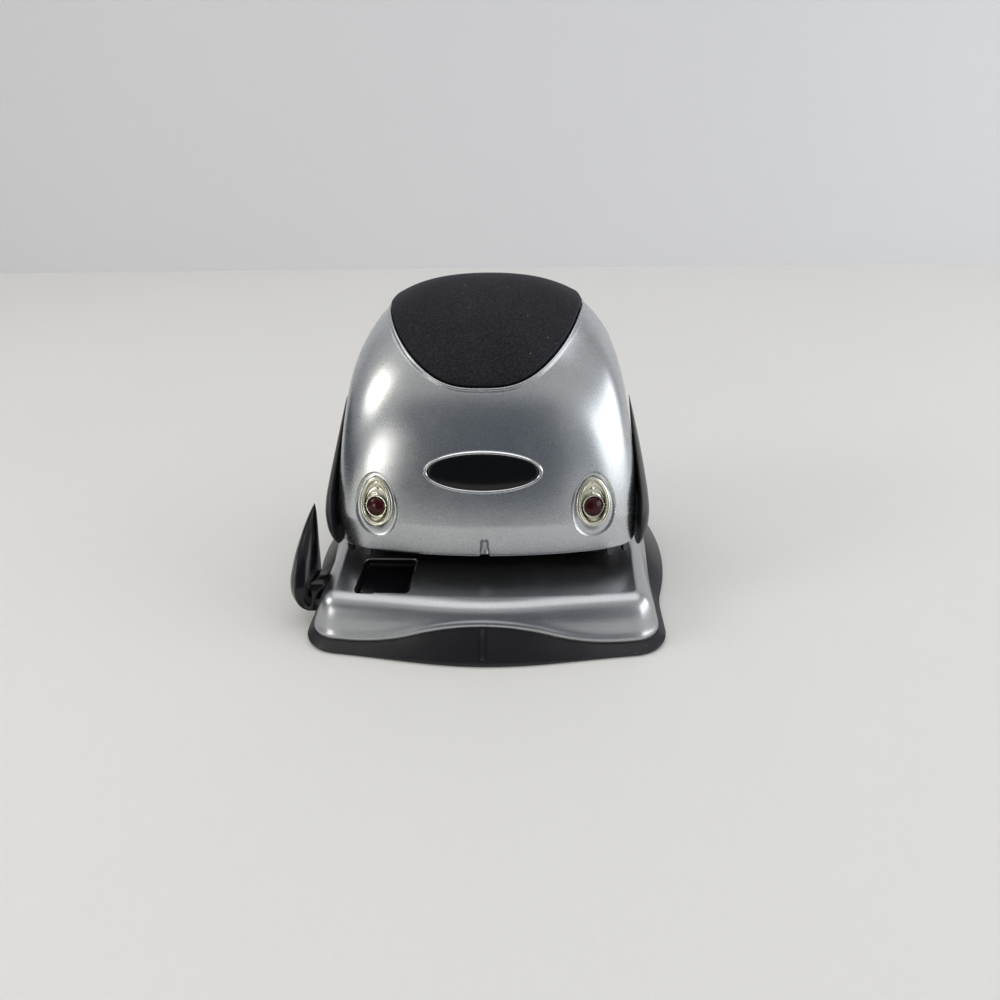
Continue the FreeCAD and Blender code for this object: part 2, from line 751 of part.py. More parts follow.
def eye(name, side):
    """Bright egg-shaped bowl with a round red jewel low in its middle."""
    depth = val("eye_depth")
    gap = val("running_gap")
    brim = val("dish_depth") / 2
    cup = eggFace(-gap, -depth).extrude(Vector(0, 0, depth - brim))
    mouth = Part.Wire(eggFace(-gap - brim, -brim).OuterWire)
    throat = eggFace(-gap - brim, -brim)
    throat.scale(0.66, Vector(0, -val("jewel_radius") / 2, -brim))
    throat.translate(Vector(0, 0, val("bowl_floor") + brim - depth))
    bowl = Part.makeLoft([mouth, Part.Wire(throat.OuterWire)], True, True)
    radius = val("jewel_radius")
    stemLength = val("jewel_stem")
    seat = Vector(0, -radius / 2, val("bowl_floor") - depth)
    solidPart("reflector_" + name, placed(cup.cut(bowl), eyePlace(side)))
    stem = Part.makeCylinder(radius, stemLength, seat)
    ball = Part.makeSphere(radius * 1.25, seat + Vector(0, 0, stemLength - radius * 0.75))
    crown = ball.common(stem.translated(Vector(0, 0, stemLength)))
    solidPart("jewel_" + name, placed(stem.fuse(crown), eyePlace(side)))


def sideArm(rear):
    """Profile of a side arm: a disc round the hub, widening to the rear where it meets the shell."""
    pivotY = val("pivot_y")
    pivotZ = val("pivot_z")
    radius = val("arm_radius")
    low = val("tail_low_front") + val("cover_gauge")
    slope = tailSlope()
    top = val(barHeight) + val("arm_rise")
    arc = Part.Arc(Vector(0, pivotY, pivotZ + radius), Vector(0, pivotY - radius, pivotZ),
                   Vector(0, pivotY, pivotZ - radius))
    corners = [
        Vector(0, pivotY, pivotZ - radius),
        Vector(0, 0, low),
        Vector(0, rear, low + slope * rear),
        Vector(0, rear, top),
        Vector(0, 0, top),
        Vector(0, pivotY, pivotZ + radius),
    ]
    lines = [Part.makeLine(corners[index], corners[index + 1]) for index in range(len(corners) - 1)]
    return Part.Face(Part.Wire([arc.toShape()] + lines))


def tailSlope():
    return val("tail_low_rear - tail_low_front") / val("dome_middle + rear_depth")


def leverBody():
    """Black moulded rear of the lever, with a tongue under the cover and two arms that turn on the hubs."""
    low = val("lip_bottom") - 4
    wall = val("body_wall")
    inner = -val("seam_step") - wall
    shell = dome(-val("seam_step"), low).cut(seamSolid(val("seam_gap")))
    tongue = dome(-val("cover_gauge") - val("running_gap"), low).cut(seamSolid(-2 * wall))
    shell = shell.fuse(tongue).cut(dome(inner, low - 1))
    reach = 2 * val("dome_half_width")
    slope = tailSlope()
    lowFront = val("tail_low_front")
    under = [Vector(-reach, -reach, 0), Vector(-reach, -reach, lowFront - slope * reach),
             Vector(-reach, reach, lowFront + slope * reach), Vector(-reach, reach, 0)]
    shell = shell.cut(Part.Face(Part.makePolygon(under + under[:1])).extrude(Vector(2 * reach, 0, 0)))
    rear = val("dome_middle + rear_depth") - 4 * wall
    profile = sideArm(rear)
    inside = dome(inner + wall / 2, low)
    behind = Part.makeBox(2 * reach, reach, reach, Vector(-reach, val("bar_diameter"), 0))
    for side in (-1, 1):
        start = profile.translated(Vector(side * val("arm_inner"), 0, 0))
        arm = start.extrude(Vector(side * val("arm_thickness"), 0, 0)).common(inside)
        web = start.extrude(Vector(side * val("dome_half_width + dome_flare - arm_inner"), 0, 0))
        web = web.common(behind).common(inside)
        shell = shell.fuse([arm, web])
    centre = [Vector(across, val("pivot_y"), val("pivot_z")) for across in (-reach, reach)]
    shell = shell.cut(rod(centre[0], centre[1], val("hub_radius + running_gap")))
    bar = [Vector(across, 0, val(barHeight)) for across in (-reach, reach)]
    shell = shell.cut(rod(bar[0], bar[1], val("(bar_diameter + running_gap) / 2")))
    solidPart("lever_body", shell)


def pressBar():
    reach = "arm_inner + arm_thickness"
    bar = doc.addObject("Part::Cylinder", "press_bar")
    bar.Label = "press_bar"
    bind(bar, "Radius", "bar_diameter / 2")
    bind(bar, "Height", "2 * (%s)" % reach)
    bar.Placement = Placement(Vector(0, 0, 0), Rotation(Vector(0, 1, 0), 90))
    bind(bar, "Placement.Base.x", "-(%s)" % reach)
    bind(bar, "Placement.Base.z", barHeight)


# Black moulding along the front of the frame, with the lead-in of the paper throat
def throatHousing():
    body = newBody("throat_housing")
    profile = sketchOn(body, "housing_profile", "YZ_Plane")
    corners = [
        ("-frame_front", throatRoof),
        ("-frame_front", "housing_top"),
        ("-housing_front + housing_chamfer", "housing_top"),
        ("-housing_front", "housing_top - housing_chamfer"),
        ("-housing_front", throatRoof + " + housing_chamfer"),
        ("-housing_front + housing_chamfer", throatRoof),
    ]
    outline(profile, corners)
    pad(profile, "2 * housing_half_width", True)


# Format window in the base plate: a bezel clipped in from below and a dark pane
def windowBezel():
    body = newBody("window_bezel")
    bezelLow = "rule_bottom + rule_thickness + side_gap"
    flange = sketchOn(body, "bezel_flange_plan", height="%s - bezel_wall" % plateUnder)
    rectangle(flange, "-window_left - bezel_flange", "-window_right + bezel_flange",
              "-window_front - bezel_flange", "-window_rear + bezel_flange")
    pad(flange, "bezel_wall")
    collar = sketchOn(body, "bezel_collar", height=bezelLow)
    rectangle(collar, "-window_left + running_gap", "-window_right - running_gap",
              "-window_front + running_gap", "-window_rear - running_gap")
    collared = pad(collar, "plate_top - 2 * running_gap - (%s)" % bezelLow)
    roundEdges(body, collared, lambda edge: upright(edge) and inWindow(edge), "window_corner - running_gap")
    opening = sketchOn(body, "bezel_opening", height="plate_top")
    rectangle(opening, "-window_left + bezel_wall", "-window_right - bezel_wall",
              "-window_front + bezel_wall", "-window_rear - bezel_wall")
    cut(opening, "4 * throat_height")


def windowPane():
    body = newBody("window_pane")
    plan = sketchOn(body, "pane_plan", height="%s - bezel_wall" % plateUnder)
    inset = "bezel_wall + running_gap / 2"
    rectangle(plan, "-window_left + " + inset, "-window_right - (%s)" % inset,
              "-window_front + " + inset, "-window_rear - (%s)" % inset)
    pad(plan, "bezel_wall")


# Channel under the plate that carries the guide rule
def guideChannel():
    body = newBody("guide_channel")
    profile = sketchOn(body, "channel_profile", "YZ_Plane", "-plate_half_width + plate_bend")
    floorTop = "rule_bottom - side_gap"
    floorLow = floorTop + " - channel_wall"
    outerFront = "-rule_front - side_gap - channel_wall"
    outerRear = "-rule_rear + side_gap + channel_wall"
    corners = [
        (outerFront, floorLow),
        (outerRear, floorLow),
        (outerRear, plateUnder),
        ("-rule_rear + side_gap", plateUnder),
        ("-rule_rear + side_gap", floorTop),
        ("-rule_front - side_gap", floorTop),
        ("-rule_front - side_gap", plateUnder),
        (outerFront, plateUnder),
    ]
    outline(profile, corners)
    pad(profile, "plate_half_width - plate_bend - channel_inner")
    relief = sketchOn(body, "bezel_relief", height=plateUnder)
    rectangle(relief, "-window_left - bezel_flange - side_gap", "-window_right + bezel_flange + side_gap",
              "-window_front - 3 * bezel_flange", "-window_rear + 3 * bezel_flange")
    cut(relief, "2 * (%s - rule_bottom - rule_thickness)" % plateUnder)


def guideRule():
    body = newBody("guide_rule")
    plan = sketchOn(body, "rule_plan", height="rule_bottom")
    rectangle(plan, "-claw_inner + claw_foot", "rule_length - claw_inner", "-rule_front", "-rule_rear")
    pad(plan, "rule_thickness")


def guideClaw():
    """Fin that stops the sheet's edge: three-sided sections with a sharp ridge, rising and leaning to the rear."""
    inner = -val("claw_inner")
    width = val("claw_outer - claw_inner")
    length = val("rule_front - rule_rear")
    low = val("claw_low")
    wires = []
    for rise, spread, front, rear in [
        (0.00, 0.35, 0.75, 0.45),
        (0.09, 0.80, 0.94, 0.26),
        (0.20, 0.99, 1.02, 0.14),
        (0.34, 1.00, 0.99, 0.06),
        (0.54, 0.78, 0.80, -0.03),
        (0.75, 0.49, 0.42, -0.10),
        (0.92, 0.21, 0.08, -0.14),
        (1.00, 0.07, -0.05, -0.15),
    ]:
        height = low + (val("claw_tip") - low) * rise
        middle = -val("rule_rear")
        ridge = Vector(inner - 0.55 * width * spread, middle - front * length, height)
        outerRear = Vector(inner - width * spread, middle - (rear + 0.12 * spread) * length, height)
        innerRear = Vector(inner, middle - rear * length, height)
        wires.append(Part.makePolygon([ridge, innerRear, outerRear, ridge]))
    fin = Part.makeLoft(wires, True, False)
    footLow = low + val("claw_foot")
    footHeight = val("rule_bottom + rule_thickness") - footLow
    corner = Vector(inner - width / 4, -val("rule_front"), footLow)
    foot = Part.makeBox(width / 4 + val("claw_foot"), length, footHeight, corner)
    solidPart("guide_claw", fin.fuse(foot))


# Chip tray: a wavy flared wall between the skirt's edge and the table, with a flat floor
def waveHeight(along, halfLength):
    """Height of the skirt's edge, from the same four arcs as its cut-out."""
    low = val("skirt_low")
    rise = val("skirt_high") - low
    radius = val(waveRadius(str(halfLength)))
    distance = abs(along)
    if distance >= halfLength:
        return low
    if distance > halfLength / 2:
        return low + radius - math.sqrt(radius ** 2 - (halfLength - distance) ** 2)
    return low + rise - radius + math.sqrt(radius ** 2 - distance ** 2)


def trayStations():
    """Half of the plate's outline from the front middle to the rear middle: spots, outward ways and flares."""
    half = val("plate_half_width")
    corner = val("plate_corner")
    bow = val(bowRadius)
    tangent = half - corner
    cornerFlare = val("tray_corner_flare")
    frontMore = val("tray_front_flare") - cornerFlare
    sideMore = val("tray_side_flare") - cornerFlare
    frontBlock = -val("plate_front - plate_bow")
    rearBlock = val("plate_rear - plate_bow")
    stations = []

    def end(sign, shares):
        for share in shares:
            x = tangent * share
            drop = bow - math.sqrt(bow ** 2 - x ** 2)
            y = (val("plate_front") if sign < 0 else val("plate_rear")) - drop
            flare = cornerFlare + frontMore * math.cos(math.pi / 2 * share) ** 2
            stations.append((Vector(x, sign * y, 0), Vector(x / bow, sign, 0), flare))

    def turn(middleY, angles):
        for angle in angles:
            way = Vector(math.cos(math.radians(angle)), math.sin(math.radians(angle)), 0)
            stations.append((Vector(tangent, middleY, 0) + way * corner, way, cornerFlare))

    end(-1, [step / 8 for step in range(8)])
    turn(frontBlock + corner, (-75, -45, -15))
    start = frontBlock + corner * 1.3
    finish = rearBlock - corner * 1.3
    for step in range(17):
        y = start + (finish - start) * step / 16
        share = min(abs(y - val("side_wave_middle")) / val("side_wave"), 1)
        stations.append((Vector(half, y, 0), Vector(1, 0, 0), cornerFlare + sideMore * (1 - share ** 2)))
    turn(rearBlock - corner, (15, 45, 75))
    end(1, [step / 8 for step in range(7, -1, -1)])
    return stations


def trayLoop(inset, flared, lift):
    """Closed curve round the tray, at the foot of its wall or along its wavy rim."""
    points = []
    half = trayStations()
    mirrored = [(Vector(-spot.x, spot.y, 0), Vector(-way.x, way.y, 0), flare)
                for spot, way, flare in half[-2:0:-1]]
    for spot, way, flare in half + mirrored:
        point = spot + way.normalize() * ((flare if flared else 0) - inset)
        atEnd = waveHeight(spot.x, val("front_wave"))
        atSide = waveHeight(spot.y - val("side_wave_middle"), val("side_wave"))
        onSide = abs(spot.x) > val("plate_half_width") - 0.5 * val("plate_corner")
        point.z = lift if flared else (atSide if onSide else atEnd) - val("tray_gap")
        points.append(point)
    curve = Part.BSplineCurve()
    count = len(points)
    even = [index / count for index in range(count + 1)]
    curve.interpolate(Points=points, PeriodicFlag=True, Parameters=even)
    return curve.toShape()


def chipTray():
    wall = val("tray_wall")
    foot = trayLoop(0, True, 0)
    rim = trayLoop(0, False, 0)
    innerRim = trayLoop(wall, False, 0)
    floorEdge = trayLoop(wall, True, wall)
    faces = [
        Part.Face(Part.Wire(foot)),
        Part.makeRuledSurface(foot, rim),
        Part.makeRuledSurface(rim, innerRim),
        Part.makeRuledSurface(innerRim, floorEdge),
        Part.Face(Part.Wire(floorEdge)),
    ]
    shell = Part.Shell([face for part in faces for face in part.Faces])
    shell.sewShape()
    solid = Part.Solid(shell)
    if solid.Volume < 0:
        solid.reverse()
    solidPart("chip_tray", solid.fuse(trayMark()).removeSplitter())


def trayMark():
    """Upright centre mark down the tray's front, a low rib that leans with the wall."""
    half = val("mark_half_width")
    front = val("plate_front")
    wall = val("tray_wall")
    high = val("skirt_high - tray_gap")
    lean = val("tray_front_flare") / high

    def spot(height, outward):
        return Vector(-half, -front - lean * (high - height) - outward, height)

    top = high - val("mark_depth")
    outer = [spot(height, val("mark_depth")) for height in (wall, top)]
    inner = [spot(height, -wall / 2) for height in (top, wall)]
    face = Part.Face(Part.makePolygon(outer + inner + outer[:1]))
    return face.extrude(Vector(2 * half, 0, 0))


basePlate()
diePlate()
punchFrame()
frameRivets()
pivotRod()
throatHousing()
windowBezel()
windowPane()
guideChannel()
guideRule()
guideClaw()
for side, name in ((-1, "left"), (1, "right")):
    pinGuide("pin_guide_" + name, side)
    punchPin("punch_pin_" + name, side)
    returnSpring("return_spring_" + name, side)
    eye(name, side)
teardrop("side_cap_left", -1, 0)
teardrop("lock_lever", 1, val("running_gap"))
leverCover()
leverBody()
pressBar()
gripPad()
badge()
chipTray()
doc.recompute()

for thing in doc.Objects:
    if "Invalid" in thing.State or "Error" in thing.State:
        raise RuntimeError("%s has a problem: %s" % (thing.Label, thing.State))

shaped = [thing for thing in doc.Objects if thing.isDerivedFrom("Part::Feature")]
parts = [thing for thing in shaped if not thing.getParentGeoFeatureGroup()]
parts = [thing for thing in parts if not thing.InList or thing.TypeId == "PartDesign::Body"]
for thing in parts:
    if thing.Shape.isNull() or not thing.Shape.isValid():
        raise RuntimeError("%s has no sound shape" % thing.Label)

os.makedirs("parts", exist_ok=True)
for thing in parts:
    thing.Shape.exportStep("parts/%s.step" % thing.Label)
    print("%-20s %2d solids %10.1f mm3" % (thing.Label, len(thing.Shape.Solids), thing.Shape.Volume))
print(len(parts), "sub-parts written")
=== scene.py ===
import bpy
import json
import math
import numpy as np
from mathutils import Matrix, Vector

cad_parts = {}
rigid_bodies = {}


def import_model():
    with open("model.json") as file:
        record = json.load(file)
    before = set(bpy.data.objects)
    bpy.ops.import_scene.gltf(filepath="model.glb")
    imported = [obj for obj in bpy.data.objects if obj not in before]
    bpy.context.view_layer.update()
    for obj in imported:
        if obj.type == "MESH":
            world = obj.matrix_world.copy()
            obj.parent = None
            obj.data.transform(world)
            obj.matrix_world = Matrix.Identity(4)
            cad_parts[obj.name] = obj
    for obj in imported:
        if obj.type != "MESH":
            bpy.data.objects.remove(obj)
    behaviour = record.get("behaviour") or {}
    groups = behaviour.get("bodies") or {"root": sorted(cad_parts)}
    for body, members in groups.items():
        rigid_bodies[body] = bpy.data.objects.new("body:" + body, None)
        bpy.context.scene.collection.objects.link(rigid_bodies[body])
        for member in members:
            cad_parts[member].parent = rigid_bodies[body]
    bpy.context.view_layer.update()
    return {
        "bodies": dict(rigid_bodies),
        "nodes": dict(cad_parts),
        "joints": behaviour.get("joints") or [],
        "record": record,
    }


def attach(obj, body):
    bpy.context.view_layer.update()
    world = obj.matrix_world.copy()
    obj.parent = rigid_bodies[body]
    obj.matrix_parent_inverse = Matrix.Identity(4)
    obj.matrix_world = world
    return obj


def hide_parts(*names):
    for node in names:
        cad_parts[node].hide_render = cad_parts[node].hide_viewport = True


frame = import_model()
nodes = frame["nodes"]
print("frame loaded:", len(nodes), "CAD nodes")


# Shader maths: a strand is one socket, and a paint is one material
class Strand:
    def __init__(self, paint, socket):
        self.paint = paint
        self.socket = socket

    def math(self, operation, other):
        return self.paint.node("ShaderNodeMath", {"operation": operation}, {0: self, 1: other})

    def __add__(self, other):
        return self.math("ADD", other)

    def __mul__(self, other):
        return self.math("MULTIPLY", other)

    __radd__ = __add__


class Paint:
    def __init__(self, name):
        self.material = bpy.data.materials.new(name)
        self.material.use_nodes = True
        self.tree = self.material.node_tree
        self.tree.nodes.clear()

    def node(self, kind, settings={}, sockets={}, out=0):
        made = self.tree.nodes.new(kind)
        for key, value in settings.items():
            if key == "stops":
                while len(made.color_ramp.elements) < len(value):
                    made.color_ramp.elements.new(0.5)
                for element, (place, shade) in zip(made.color_ramp.elements, value):
                    element.position = place
                    grey = isinstance(shade, (int, float))
                    element.color = (shade, shade, shade, 1) if grey else (*shade, 1)
            else:
                setattr(made, key, value)
        for key, value in sockets.items():
            if isinstance(value, Strand):
                self.tree.links.new(value.socket, made.inputs[key])
            else:
                made.inputs[key].default_value = value
        return Strand(self, made.outputs[out]) if made.outputs else None

    def place(self):
        return self.node("ShaderNodeTexCoord", {}, {}, "Object")

    def noise(self, scale, detail=3.0, rough=0.55, stretch=(1, 1, 1), seed=0.0):
        shifted = {"Vector": self.place(), "Scale": stretch, "Location": (seed, seed, seed)}
        spot = self.node("ShaderNodeMapping", {}, shifted)
        sockets = {"Vector": spot, "Scale": scale, "Detail": detail, "Roughness": rough}
        return self.node("ShaderNodeTexNoise", {}, sockets)

    def ramp(self, value, stops):
        return self.node("ShaderNodeValToRGB", {"stops": stops}, {"Fac": value})

    def blend(self, share, first, second):
        return self.node("ShaderNodeMix", {"data_type": "RGBA"}, {0: share, 6: first, 7: second}, 2)

    def bump(self, height, depth, strength=1.0, under=None):
        sockets = {"Height": height, "Distance": depth, "Strength": strength}
        if under:
            sockets["Normal"] = under
        return self.node("ShaderNodeBump", {}, sockets)

    def finish(self, **sockets):
        body = self.node("ShaderNodeBsdfPrincipled", {}, sockets)
        self.node("ShaderNodeOutputMaterial", {}, {"Surface": body})
        return self.material

    def glowing(self, tone):
        body = self.node("ShaderNodeEmission", {}, {"Color": shade(*tone), "Strength": 1.0})
        self.node("ShaderNodeOutputMaterial", {}, {"Surface": body})
        return self.material


def shade(red, green, blue):
    return (red, green, blue, 1)


# Metals
def satinSteel(name, light, dark, gloss, grainSize=0.00035, smear=(1, 1, 1)):
    paint = Paint(name)
    clouds = paint.noise(22, 4, 0.6, seed=3.1)
    grain = paint.noise(1 / grainSize, 2, 0.6, smear)
    wipes = paint.noise(70, 5, 0.65, (1, 0.3, 1), 7.7)
    tone = paint.ramp(clouds * 0.4 + grain * 0.6, [(0.34, dark), (0.66, light)])
    warmth = paint.ramp(paint.noise(16, 2, 0.5, seed=5.3), [(0.5, 0.0), (0.72, 0.16)])
    tone = paint.blend(warmth, tone, shade(light[0] * 1.06, light[1] * 0.98, light[2] * 0.9))
    rough = gloss - 0.05 + grain * 0.07 + paint.ramp(wipes, [(0.45, 0.0), (0.8, 0.05)])
    relief = paint.bump(grain, 0.000012, 0.5)
    return paint.finish(**{"Base Color": tone, "Metallic": 1.0, "Roughness": rough, "Normal": relief})


def polished(name, tone, gloss=0.09):
    paint = Paint(name)
    smudge = paint.noise(240, 4, 0.6)
    share = paint.ramp(smudge, [(0.4, 0.0), (0.8, 0.35)])
    colour = paint.blend(share, shade(*tone), shade(*[part * 0.72 for part in tone]))
    return paint.finish(**{"Base Color": colour, "Metallic": 1.0, "Roughness": gloss + smudge * 0.1})


# Plastics and rubber
def moulded(name, tone, gloss, grainSize=0.0005, grainDepth=0.000012, dust=0.35, shine=0.35,
            mottle=0.15):
    paint = Paint(name)
    grain = paint.noise(1 / grainSize, 2, 0.5)
    patches = paint.noise(40, 4, 0.6, seed=2.2)
    specks = paint.node("ShaderNodeTexVoronoi", {"feature": "F1"}, {"Vector": paint.place(), "Scale": 420.0})
    lint = paint.ramp(specks, [(0.05, dust), (0.12, 0.0)]) * paint.ramp(patches, [(0.5, 0.0), (0.66, 1.0)])
    spread = paint.ramp(patches * (1 - mottle) + grain * mottle, [(0.36, 0.0), (0.64, 1.0)])
    low, high = ([part * much for part in tone] for much in (1 - mottle, 1.3 + mottle))
    base = paint.blend(spread, shade(*low), shade(*high))
    colour = paint.blend(lint, base, shade(0.3, 0.3, 0.3))
    rough = gloss - 0.04 + grain * 0.08 + patches * 0.04
    relief = paint.bump(grain, grainDepth, 0.6)
    sockets = {"Base Color": colour, "Roughness": rough, "Specular IOR Level": shine, "Normal": relief}
    return paint.finish(**sockets)


satinCover = satinSteel("satin_cover", (0.63, 0.65, 0.67), (0.40, 0.415, 0.435), 0.28)
satinPlate = satinSteel("satin_plate", (0.52, 0.53, 0.545), (0.36, 0.37, 0.39), 0.31)
groundSteel = satinSteel("ground_steel", (0.6, 0.6, 0.6), (0.45, 0.45, 0.46), 0.3, 0.0002, (1, 0.1, 1))
darkSteel = satinSteel("dark_steel", (0.10, 0.10, 0.11), (0.05, 0.05, 0.055), 0.38)
brassTurned = satinSteel("brass_turned", (0.72, 0.55, 0.28), (0.6, 0.44, 0.2), 0.25)
brightTrim = polished("bright_trim", (0.85, 0.85, 0.86))
blackMoulded = moulded("black_moulding", (0.026, 0.026, 0.028), 0.36, 0.0005, 0.000012, 0.25, 0.5)
blackGloss = moulded("black_gloss", (0.003, 0.003, 0.004), 0.2, 0.002, 0.000004, 0.1, 0.4)
badgeBlack = moulded("badge_black", (0.001, 0.001, 0.0015), 0.14, 0.002, 0.000004, 0.15, 0.4)
padGrain = moulded("pad_grain", (0.011, 0.011, 0.015), 0.6, 0.0007, 0.00009, 0.9, 0.2, 0.75)
trayMoulded = moulded("tray_moulded", (0.010, 0.010, 0.012), 0.33, 0.0005, 0.000012, 0.35, 0.35)
creamBowl = polished("cream_bowl", (0.70, 0.69, 0.58), 0.2)
redGlass = moulded("red_glass", (0.032, 0.001, 0.002), 0.1, 0.002, 0.000004, 0.0, 0.3)

finishes = (
    (satinPlate, "base_plate"),
    (satinCover, "lever_cover"),
    (darkSteel, "punch_frame"),
    (groundSteel, "die_plate frame_rivets pivot_rod press_bar"),
    (groundSteel, "punch_pin_left punch_pin_right return_spring_left return_spring_right"),
    (brassTurned, "pin_guide_left pin_guide_right"),
    (brightTrim, "badge_rim"),
    (creamBowl, "reflector_left reflector_right"),
    (redGlass, "jewel_left jewel_right"),
    (blackMoulded, "throat_housing guide_channel side_cap_left lock_lever lever_body"),
    (blackGloss, "window_bezel window_pane guide_rule guide_claw"),
    (badgeBlack, "badge_plate"),
    (padGrain, "grip_pad"),
    (trayMoulded, "chip_tray"),
)
for finish, names in finishes:
    for name in names.split():
        for slot in nodes[name].material_slots:
            slot.material = finish
print("finishes on the CAD nodes")


# Mesh helpers: everything below is worked out in millimetres
mm = 0.001


def unit(vectors):
    return vectors / np.maximum(np.linalg.norm(vectors, axis=-1, keepdims=True), 1e-9)


def gridFaces(rows, columns, closedRows=False, closedColumns=False):
    index = np.arange(rows * columns).reshape(rows, columns)
    if closedRows:
        index = np.vstack([index, index[:1]])
    if closedColumns:
        index = np.hstack([index, index[:, :1]])
    return np.stack([index[:-1, :-1], index[:-1, 1:], index[1:, 1:], index[1:, :-1]], -1).reshape(-1, 4)


def evened(loop, steps, measured=None):
    # evenly spaced spots along a loop, by the length in its first columns
    strides = np.linalg.norm(np.diff(loop[:, :measured], axis=0), axis=1)
    lengths = np.concatenate([[0], np.cumsum(strides)])
    even = np.linspace(0, lengths[-1], steps, endpoint=False)
    return np.stack([np.interp(even, lengths, column) for column in loop.T], -1)


def softened(loop, times):
    for turn in range(times):
        loop = (np.roll(loop, 1, 0) + 2 * loop + np.roll(loop, -1, 0)) / 4
    return loop


def patch(grid, closedRows=False, closedColumns=False, flipped=False):
    faces = gridFaces(grid.shape[0], grid.shape[1], closedRows, closedColumns)
    return grid.reshape(-1, 3), faces[:, ::-1] if flipped else faces


def makePiece(name, patches, finish, body, slotName, replaced=(), sharp=40):
    points = np.concatenate([np.asarray(spots, float) for spots, faces in patches]) * mm
    corners = []
    start = 0
    for spots, faces in patches:
        corners += [tuple(int(corner) + start for corner in face) for face in faces]
        start += len(spots)
    mesh = bpy.data.meshes.new(name)
    mesh.from_pydata(points.tolist(), [], corners)
    mesh.validate()
    mesh.polygons.foreach_set("use_smooth", [True] * len(mesh.polygons))
    mesh.set_sharp_from_angle(angle=math.radians(sharp))
    mesh.materials.append(finish)
    piece = bpy.data.objects.new(name, mesh)
    bpy.context.scene.collection.objects.link(piece)
    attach(piece, body)
    if replaced:
        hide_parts(*replaced)
    print("made", name, "with", len(mesh.polygons), "faces")
    return piece


def makeShell(name, rings, *details):
    # a piece whose rows of points all run once round
    return makePiece(name, [patch(np.array(rings), closedColumns=True)], *details)


# The dome of the lever: its level outlines bow forward and have full front corners
dome = {
    "halfWidth": 55.3, "flare": 2.6, "flareHeight": 50.0, "foot": 28.0, "top": 118.0, "middle": 15.0,
    "faceDepth": 57.8, "faceLean": 0.119, "rearDepth": 38.0, "bow": 8.5, "lip": 28.5, "crease": 40.5,
    "roundFoot": 13.0, "roundTop": 3.0, "roundRear": 4, "risePower": 4.2, "shoulderPower": 2.4,
    "depthPower": 3.5, "foldSoftness": 0.35, "gauge": 1.2, "faceTurn": 14.0, "core": (0.0, 12.0, 60.0),
    "seam": ((-7.0, 0.0), (2.0, 77.0), (27.0, 112.0)), "reach": 130.0, "behindFace": 25,
}
core = np.array(dome["core"])


def domeReach(spots):
    x, y, z = (spots[..., axis] for axis in range(3))
    soft = dome["foldSoftness"]
    height = dome["crease"] + soft * np.logaddexp(0, (z - dome["crease"]) / soft) - dome["foot"]
    level = height / (dome["top"] - dome["foot"])
    share = np.clip(level, 0, 0.99999)
    flare = dome["flare"] * (1 - np.clip(height / dome["flareHeight"], 0, 1) ** 2) ** 2
    narrowing = (1 - share ** dome["risePower"]) ** (1 / dome["shoulderPower"])
    half = (dome["halfWidth"] + flare) * narrowing
    shrink = (1 - share ** dome["depthPower"]) ** 0.5
    front = (dome["faceDepth"] - dome["faceLean"] * height) * shrink
    rear = dome["rearDepth"] * shrink
    corner = dome["roundTop"] + (dome["roundFoot"] - dome["roundTop"]) * (1 - share) ** 1.5
    back = y - dome["middle"]
    depth = np.where(back < 0, front, rear)
    power = np.where(back < 0, corner, np.minimum(corner, dome["roundRear"]))
    bow = dome["bow"] * (x / half) ** 2 * half / dome["halfWidth"]
    straight = back / (1 - np.minimum(bow / depth, 0.95))
    reach = ((np.abs(x) / half) ** power + (np.abs(straight) / depth) ** power) ** (1 / power)
    return np.where(level < 1, reach, 10.0)    # 1 on the skin, more outside it


def castOut(origins, ways):
    origins, ways = np.broadcast_arrays(np.asarray(origins, float), np.asarray(ways, float))
    near = np.zeros(origins.shape[:-1])
    far = np.full_like(near, dome["reach"])
    for halving in range(30):
        middle = (near + far) / 2
        inside = domeReach(origins + ways * middle[..., None]) < 1
        near = np.where(inside, middle, near)
        far = np.where(inside, far, middle)
    return origins + ways * near[..., None]


def skinNormals(spots, step=0.02):
    sides = [domeReach(spots + axis * step) - domeReach(spots - axis * step) for axis in np.eye(3)]
    return unit(np.stack(sides, -1))


def seamY(height):
    low, middle, high = dome["seam"]
    (y1, z1), (y2, z2), (y3, z3) = low, middle, high
    across = 2 * (y1 * (z2 - z3) + y2 * (z3 - z1) + y3 * (z1 - z2))
    sums = [y * y + z * z for y, z in (low, middle, high)]
    centreY = (sums[0] * (z2 - z3) + sums[1] * (z3 - z1) + sums[2] * (z1 - z2)) / across
    centreZ = (sums[0] * (y3 - y2) + sums[1] * (y1 - y3) + sums[2] * (y2 - y1)) / across
    radius = math.hypot(y1 - centreY, z1 - centreZ)
    return centreY + np.sqrt(radius ** 2 - (height - centreZ) ** 2) * math.copysign(1, y2 - centreY)


def rolled(grid, radius, turns=6):
    # curls the last row of a grid of points inward round a half circle
    last = grid[-1]
    onward = unit(last - grid[-2])
    outward = unit(np.cross(np.gradient(last, axis=0), onward))
    outward = outward * np.sign(np.sum(outward * (last - core), -1, keepdims=True))
    angles = np.linspace(0, math.pi, turns + 1)[1:]
    curl = [last + onward * radius * math.sin(angle) - outward * radius * (1 - math.cos(angle))
            for angle in angles]
    return np.concatenate([grid, np.array(curl)])


